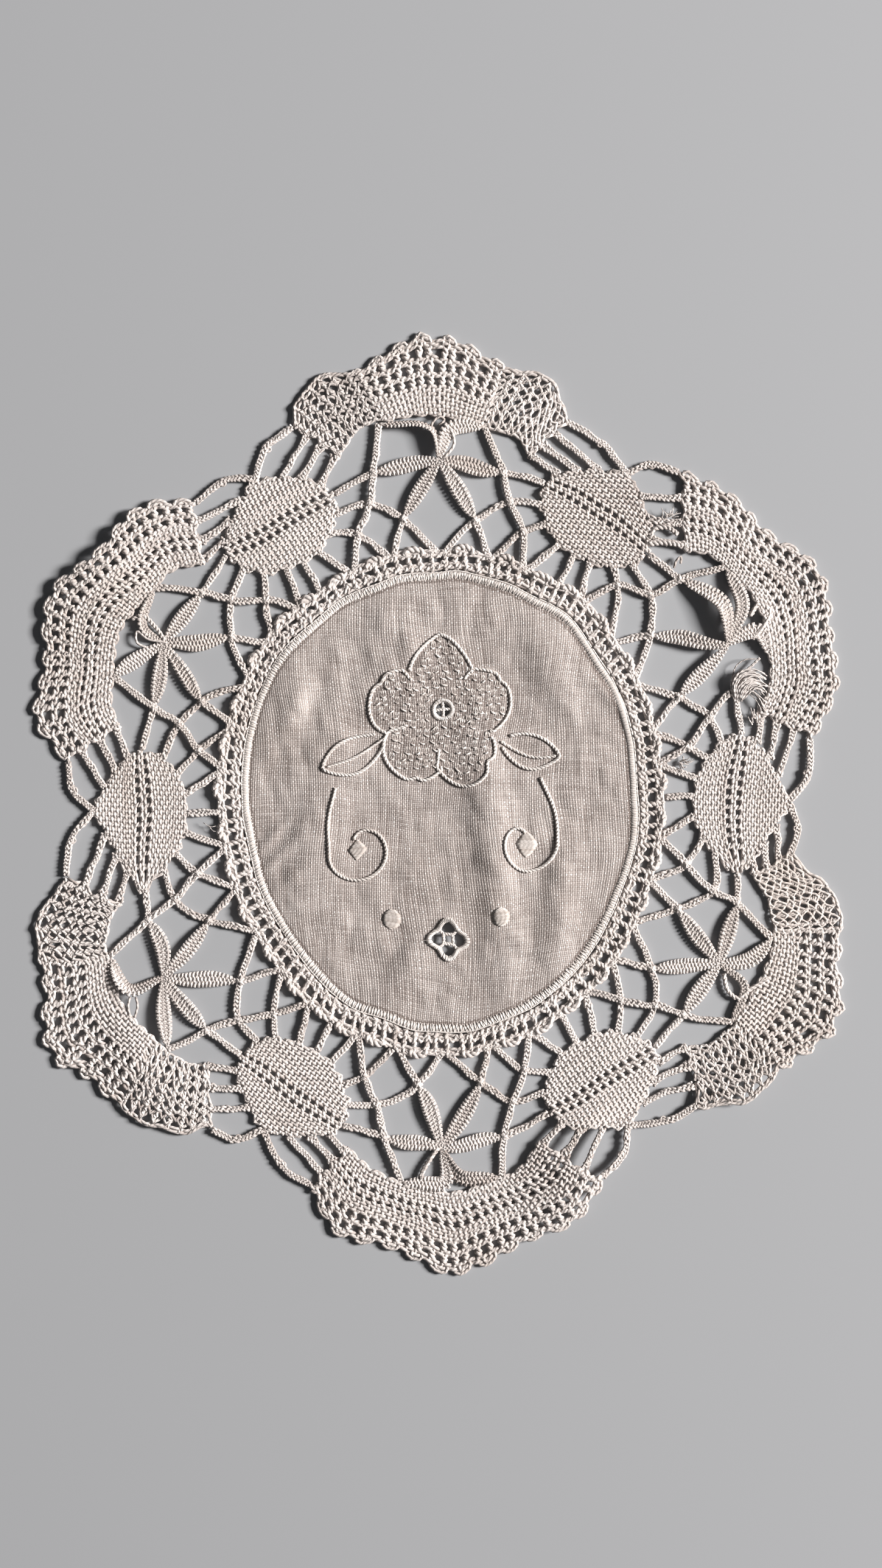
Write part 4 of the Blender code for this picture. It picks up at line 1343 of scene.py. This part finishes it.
def makeHemStitches():
    # each stitch goes up, over the roll and down outside it: reach * cos outward and
    # radius * sin up, boldest at one side of the oval; a thin thread runs along the edge
    work, draw, threads = hemWork, np.random.default_rng(602), []
    ring = curveThrough(ringPath(-work["inset"], work["points"], 0.02, 5), closed=True)
    for k in range(work["stitches"]):
        share = (k + draw.uniform(-0.2, 0.2)) / work["stitches"]
        here, ahead = readCurve(ring, share % 1), readCurve(ring, (share + 0.0008) % 1)
        way = unit(ahead - here)
        out = -leftward(way)
        reach = (work["radius"] + 0.04) * draw.uniform(0.96, 1.08)
        slant = draw.normal(0.12, 0.09)
        plan = here + out * (reach * np.cos(overcast))[:, None] \
            + way * (slant * np.cos(overcast))[:, None]
        rise = (work["radius"] * work["squash"] - 0.02) * np.sin(overcast)
        height = np.maximum(work["height"] + rise, work["lowest"])
        bold = math.atan2(here[1], here[0]) - math.radians(work["boldest"])
        bold = 0.5 + 0.5 * math.cos(bold)
        thick = work["stitch"] * (0.55 + 0.5 * bold) * draw.uniform(0.85, 1.15)
        threads.append(strand(
            plan, height, thick, draw, 0.1 * bold - 0.12, lean=np.array([*way, 0.0]), squash=1.0))
    ring = ringPath(-work["edgeInset"], work["points"], 0.03, 6)
    threads.append(strand(ring, work["edgeHeight"], work["edge"], draw, closed=True))
    return spin("hem_stitches", threads, whitePaint)


cordWork = {"radius": 0.225, "apart": 0.15, "twist": 1.35, "step": 0.3, "tone": -0.07}


def cordOf(points, draw, wide=1.0):
    # a rope-like stem stitch laid on the linen
    work = cordWork
    return twistOf(
        curveThrough(points), draw, work["radius"] * wide, work["apart"] * wide, work["twist"],
        stitchHeight, work["step"], anyPhase(draw), work["tone"])


# tone and drawnTone set the filling darker than the white thread: painted shade over the flower,
# and for the drawn threads also the linen's own colour
fillWork = {
    "step": (1.8, 1.45), "reach": 12, "clear": 2.7, "margin": 0.5, "uneven": 0.2,
    "half": (0.3, 0.68), "sag": 0.18, "radius": (0.11, 0.19), "tone": -0.08, "drawn": 0.13,
    "drawnTone": -0.14,
}


def petalCord(row, draw):
    # the cord along a petal's edge, run in towards the eye at both ends
    turn = np.radians(row["turn"] + row["half"] * np.linspace(-1, 1, 33))
    reach = petalReach(row, turn)[0]
    first, last = max(row["first"], 0.05), max(row["last"], 0.05)
    reach = np.concatenate([[reach[0] - first, reach[0] - first / 2], reach, [reach[-1] - last]])
    turn = np.concatenate([[turn[0], turn[0]], turn, [turn[-1] - 0.02]])
    return cordOf(polar(eye, reach, turn), draw)


def fillFlower(work, draw):
    # short level stitches set as bricks, each sagging by sag * (1 - t^2), with linen threads
    # drawn together above it
    threads, t = [], np.linspace(-1, 1, 5)
    count = np.arange(-work["reach"], work["reach"] + 1)
    j, i = (part.ravel() for part in np.meshgrid(count, count, indexing="ij"))
    place = eye + np.column_stack([i + (j % 2) / 2, j]) * work["step"]
    place = place + draw.normal(0, work["uneven"], place.shape)
    clear = np.hypot(*(place - eye).T) > work["clear"]
    for middle in place[(insideFlower(place, work["margin"]) > 0.4) & clear]:
        half, tilt = draw.uniform(*work["half"]), draw.normal(-0.1, 0.3)
        sag = half * t * tilt - work["sag"] * (1 - t**2)
        plan = middle + np.stack([half * t, sag], axis=-1)
        height = stitchHeight + 0.16 - 0.36 * np.abs(t) ** 2.5
        threads.append(strand(plan, height, draw.uniform(*work["radius"]), draw, work["tone"]))
        for k in (-1, 0, 1):
            x = k * (0.34 - 0.12 * t) + draw.normal(0, 0.03)
            plan = middle + np.stack([x, 0.62 + 0.55 * t], axis=-1)
            height = stitchHeight - 0.02 + 0.06 * t - 0.1 * t**2
            threads.append(strand(plan, height, work["drawn"], draw, work["drawnTone"]))
    return threads


# satin threads of the patches and of the eyelets' borders; spacing counts threads round an
# eyelet for each millimetre of its reach
satin = {
    "patch": 0.14, "patchTone": -0.16, "patchStep": 0.2, "border": 0.13, "borderTone": 0.08,
    "spacing": 28,
}


def sprigOf(row, draw):
    # half a leaf is sin(pi * share)^0.75 beside the line from base to tip, and the rib runs
    # short of the tip
    threads, t = [], np.linspace(0, 1, 15)
    base, way = row["base"], np.subtract(row["tip"], row["base"])
    upward = leftward(unit(way)) * np.sign(way[0])
    for half, start in ((row["above"], 0.12), (-row["below"], 0.06)):
        share = start + (1 - start) * t
        swell = half * np.sin(math.pi * share) ** 0.75
        threads += cordOf(base + share[:, None] * way + upward * swell[:, None], draw)
    bend = row["bend"] * np.sin(math.pi * t)
    rib = base + t[:, None] * way * 0.93 + upward * bend[:, None]
    return threads + cordOf(rib, draw, 0.85)


def stemOf(row, draw):
    t = np.linspace(0, 1, 30)
    turn = np.radians(row["first"] + (row["last"] - row["first"]) * t)
    curl = polar(row["middle"], row["reach"] * (1 - 0.12 * t - row["shrink"] * t**12), turn)
    return cordOf(np.vstack([row["start"], row["via"], curl]), draw)


def patchOf(row, draw):
    # level threads side by side, each tall * (1 - share^power)^(1 / power) long
    threads, t, power = [], np.linspace(-1, 1, 5), row["power"]
    sideway = spoke(math.radians(row["turn"]))
    for share in np.arange(-0.97, 0.98, satin["patchStep"] / row["wide"]):
        half = row["tall"] * (1 - abs(share) ** power) ** (1 / power)
        half = half * draw.uniform(0.94, 1.06)
        plan = row["at"] + sideway * share * row["wide"] + leftward(sideway) * (half * t)[:, None]
        height = stitchHeight - 0.08 + 0.05 * (1 - t**2) - 0.12 * t**4
        threads.append(strand(plan, height, satin["patch"], draw, satin["patchTone"]))
    return threads


# the bars across the eye, and the ring and its bars in the lower eyelet
eyeBar = {"radius": 0.21, "apart": 0.11, "twist": 1.0, "height": 0.68, "step": 0.2}
eyeBarWays = ((1.0, 0.06), (-0.05, 1.0))
lowerRing = {"radius": 0.22, "apart": 0.14, "twist": 1.1, "height": 0.66, "step": 0.2}
lowerBar = {**lowerRing, "apart": 0.13}
lowerBarTurns = (45.0, 135.0, 225.0, 315.0)
# places across a satin border, in half borders outward, and how high its threads are there
borderAcross = np.array([1.0, 0.6, 0.0, -0.6, -1.0, -0.8])
borderRise = np.array([0.0, 0.16, 0.2, 0.12, -0.12, -0.3])


def borderOf(row, draw):
    # a satin border round a hole: short threads across its edge, side by side
    threads, count = [], int(row["reach"] * satin["spacing"])
    for turn in np.arange(count) * math.tau / count:
        reach = row["reach"] + row["lobe"] * math.cos(4 * turn)
        reach = reach + 0.5 * row["border"] * draw.uniform(0.9, 1.12) * borderAcross
        plan = polar(row["at"], reach, turn + draw.normal(0, 0.01))
        threads.append(strand(
            plan, stitchHeight + borderRise, satin["border"], draw, satin["borderTone"],
            lean=np.array([*leftward(spoke(turn)), 0.0]), squash=1.0))
    return threads


def eyeBarOf(way, draw):
    span = np.array(way) * eyelets[0]["reach"]
    return twistOf(curveThrough([eye - span, eye + 0.05, eye + span]), draw, **eyeBar)


def lowerRingOf(twist, draw):
    # four soft lobes: reach 0.95 + 0.12 * cos of four turns
    turn = np.linspace(0, math.tau, 24, endpoint=False)
    ring = polar(lower, 0.95 + 0.12 * np.cos(4 * turn - math.pi), turn)
    return twistOf(curveThrough(ring, closed=True), draw, **twist)


def lowerBarOf(turn, draw):
    bar = [polar(lower, reach, math.radians(turn)) for reach in (1.0, 1.6, 2.4)]
    return twistOf(curveThrough(bar), draw, **lowerBar)


linen = makeLinen()
linenPieces = [
    linen, makeHem(), makeHemStitches(),
    spinRows("flower", whitePaint, 611, (petalCord, petals), (fillFlower, [fillWork])),
    spinRows(
        "sprigs", whitePaint, 612, (sprigOf, sprigs), (stemOf, stems), (patchOf, patches)),
    spinRows(
        "eyelet_borders", whitePaint, 613, (borderOf, eyelets), (eyeBarOf, eyeBarWays),
        (lowerRingOf, [lowerRing]), (lowerBarOf, lowerBarTurns))]
handOver(linenPieces, "linen_centre")
print("linen and embroidery made")

studio = {
    "cameraAt": (0.000176, 0.003616, 0.393), "lens": 50.0, "sensor": 36.0,
    "clip": (0.01, 10.0), "keyTurn": 9.0, "keyRise": 29.0, "keyAway": 2.4, "keySize": 0.6,
    "keyPower": 124.0, "keyColour": (1.0, 0.97, 0.94), "world": (0.95, 0.97, 1.0, 1),
    "worldPower": 0.06, "floor": (0.42, 0.43, 0.45, 1), "floorShade": 0.97, "floorHalf": 12.0,
}
scene = bpy.context.scene
scene.view_settings.view_transform = "Standard"


def addCamera():
    # straight above, looking down
    lens = bpy.data.cameras.new("camera")
    lens.lens, lens.sensor_width = studio["lens"], studio["sensor"]
    lens.clip_start, lens.clip_end = studio["clip"]
    camera = bpy.data.objects.new("camera", lens)
    camera.location = studio["cameraAt"]
    scene.collection.objects.link(camera)
    scene.camera = camera


def addLight():
    # a square soft box that faces the middle, with a faint pale surround
    box = bpy.data.lights.new("key", "AREA")
    box.shape, box.size = "SQUARE", studio["keySize"]
    box.energy, box.color = studio["keyPower"], studio["keyColour"]
    light = bpy.data.objects.new("key", box)
    turn, rise = math.radians(studio["keyTurn"]), math.radians(studio["keyRise"])
    level = studio["keyAway"] * math.cos(rise)
    light.location = (
        level * math.cos(turn), level * math.sin(turn), studio["keyAway"] * math.sin(rise))
    light.rotation_euler = (math.pi / 2 - rise, 0.0, turn + math.pi / 2)
    scene.collection.objects.link(light)
    world = bpy.data.worlds.new("studio")
    world.use_nodes = True
    world.node_tree.nodes["Background"].inputs[0].default_value = studio["world"]
    world.node_tree.nodes["Background"].inputs[1].default_value = studio["worldPower"]
    scene.world = world


def addFloor():
    half, colour = studio["floorHalf"], studio["floor"]
    mesh = bpy.data.meshes.new("floor")
    mesh.from_pydata(
        [(-half, -half, 0), (half, -half, 0), (half, half, 0), (-half, half, 0)], [],
        [(0, 1, 2, 3)])
    material, shader, place = newPaint("floor_paint", 0.8, 0.0)
    shaded = (*(studio["floorShade"] * part for part in colour[:3]), 1)
    colour = place.noise(3.0).mixed(colour, shaded)
    colour.tree.links.new(colour.socket, shader.inputs["Base Color"])
    mesh.materials.append(material)
    floor = bpy.data.objects.new("floor", mesh)
    scene.collection.objects.link(floor)


addCamera()
addLight()
addFloor()
print("camera, light and floor set")
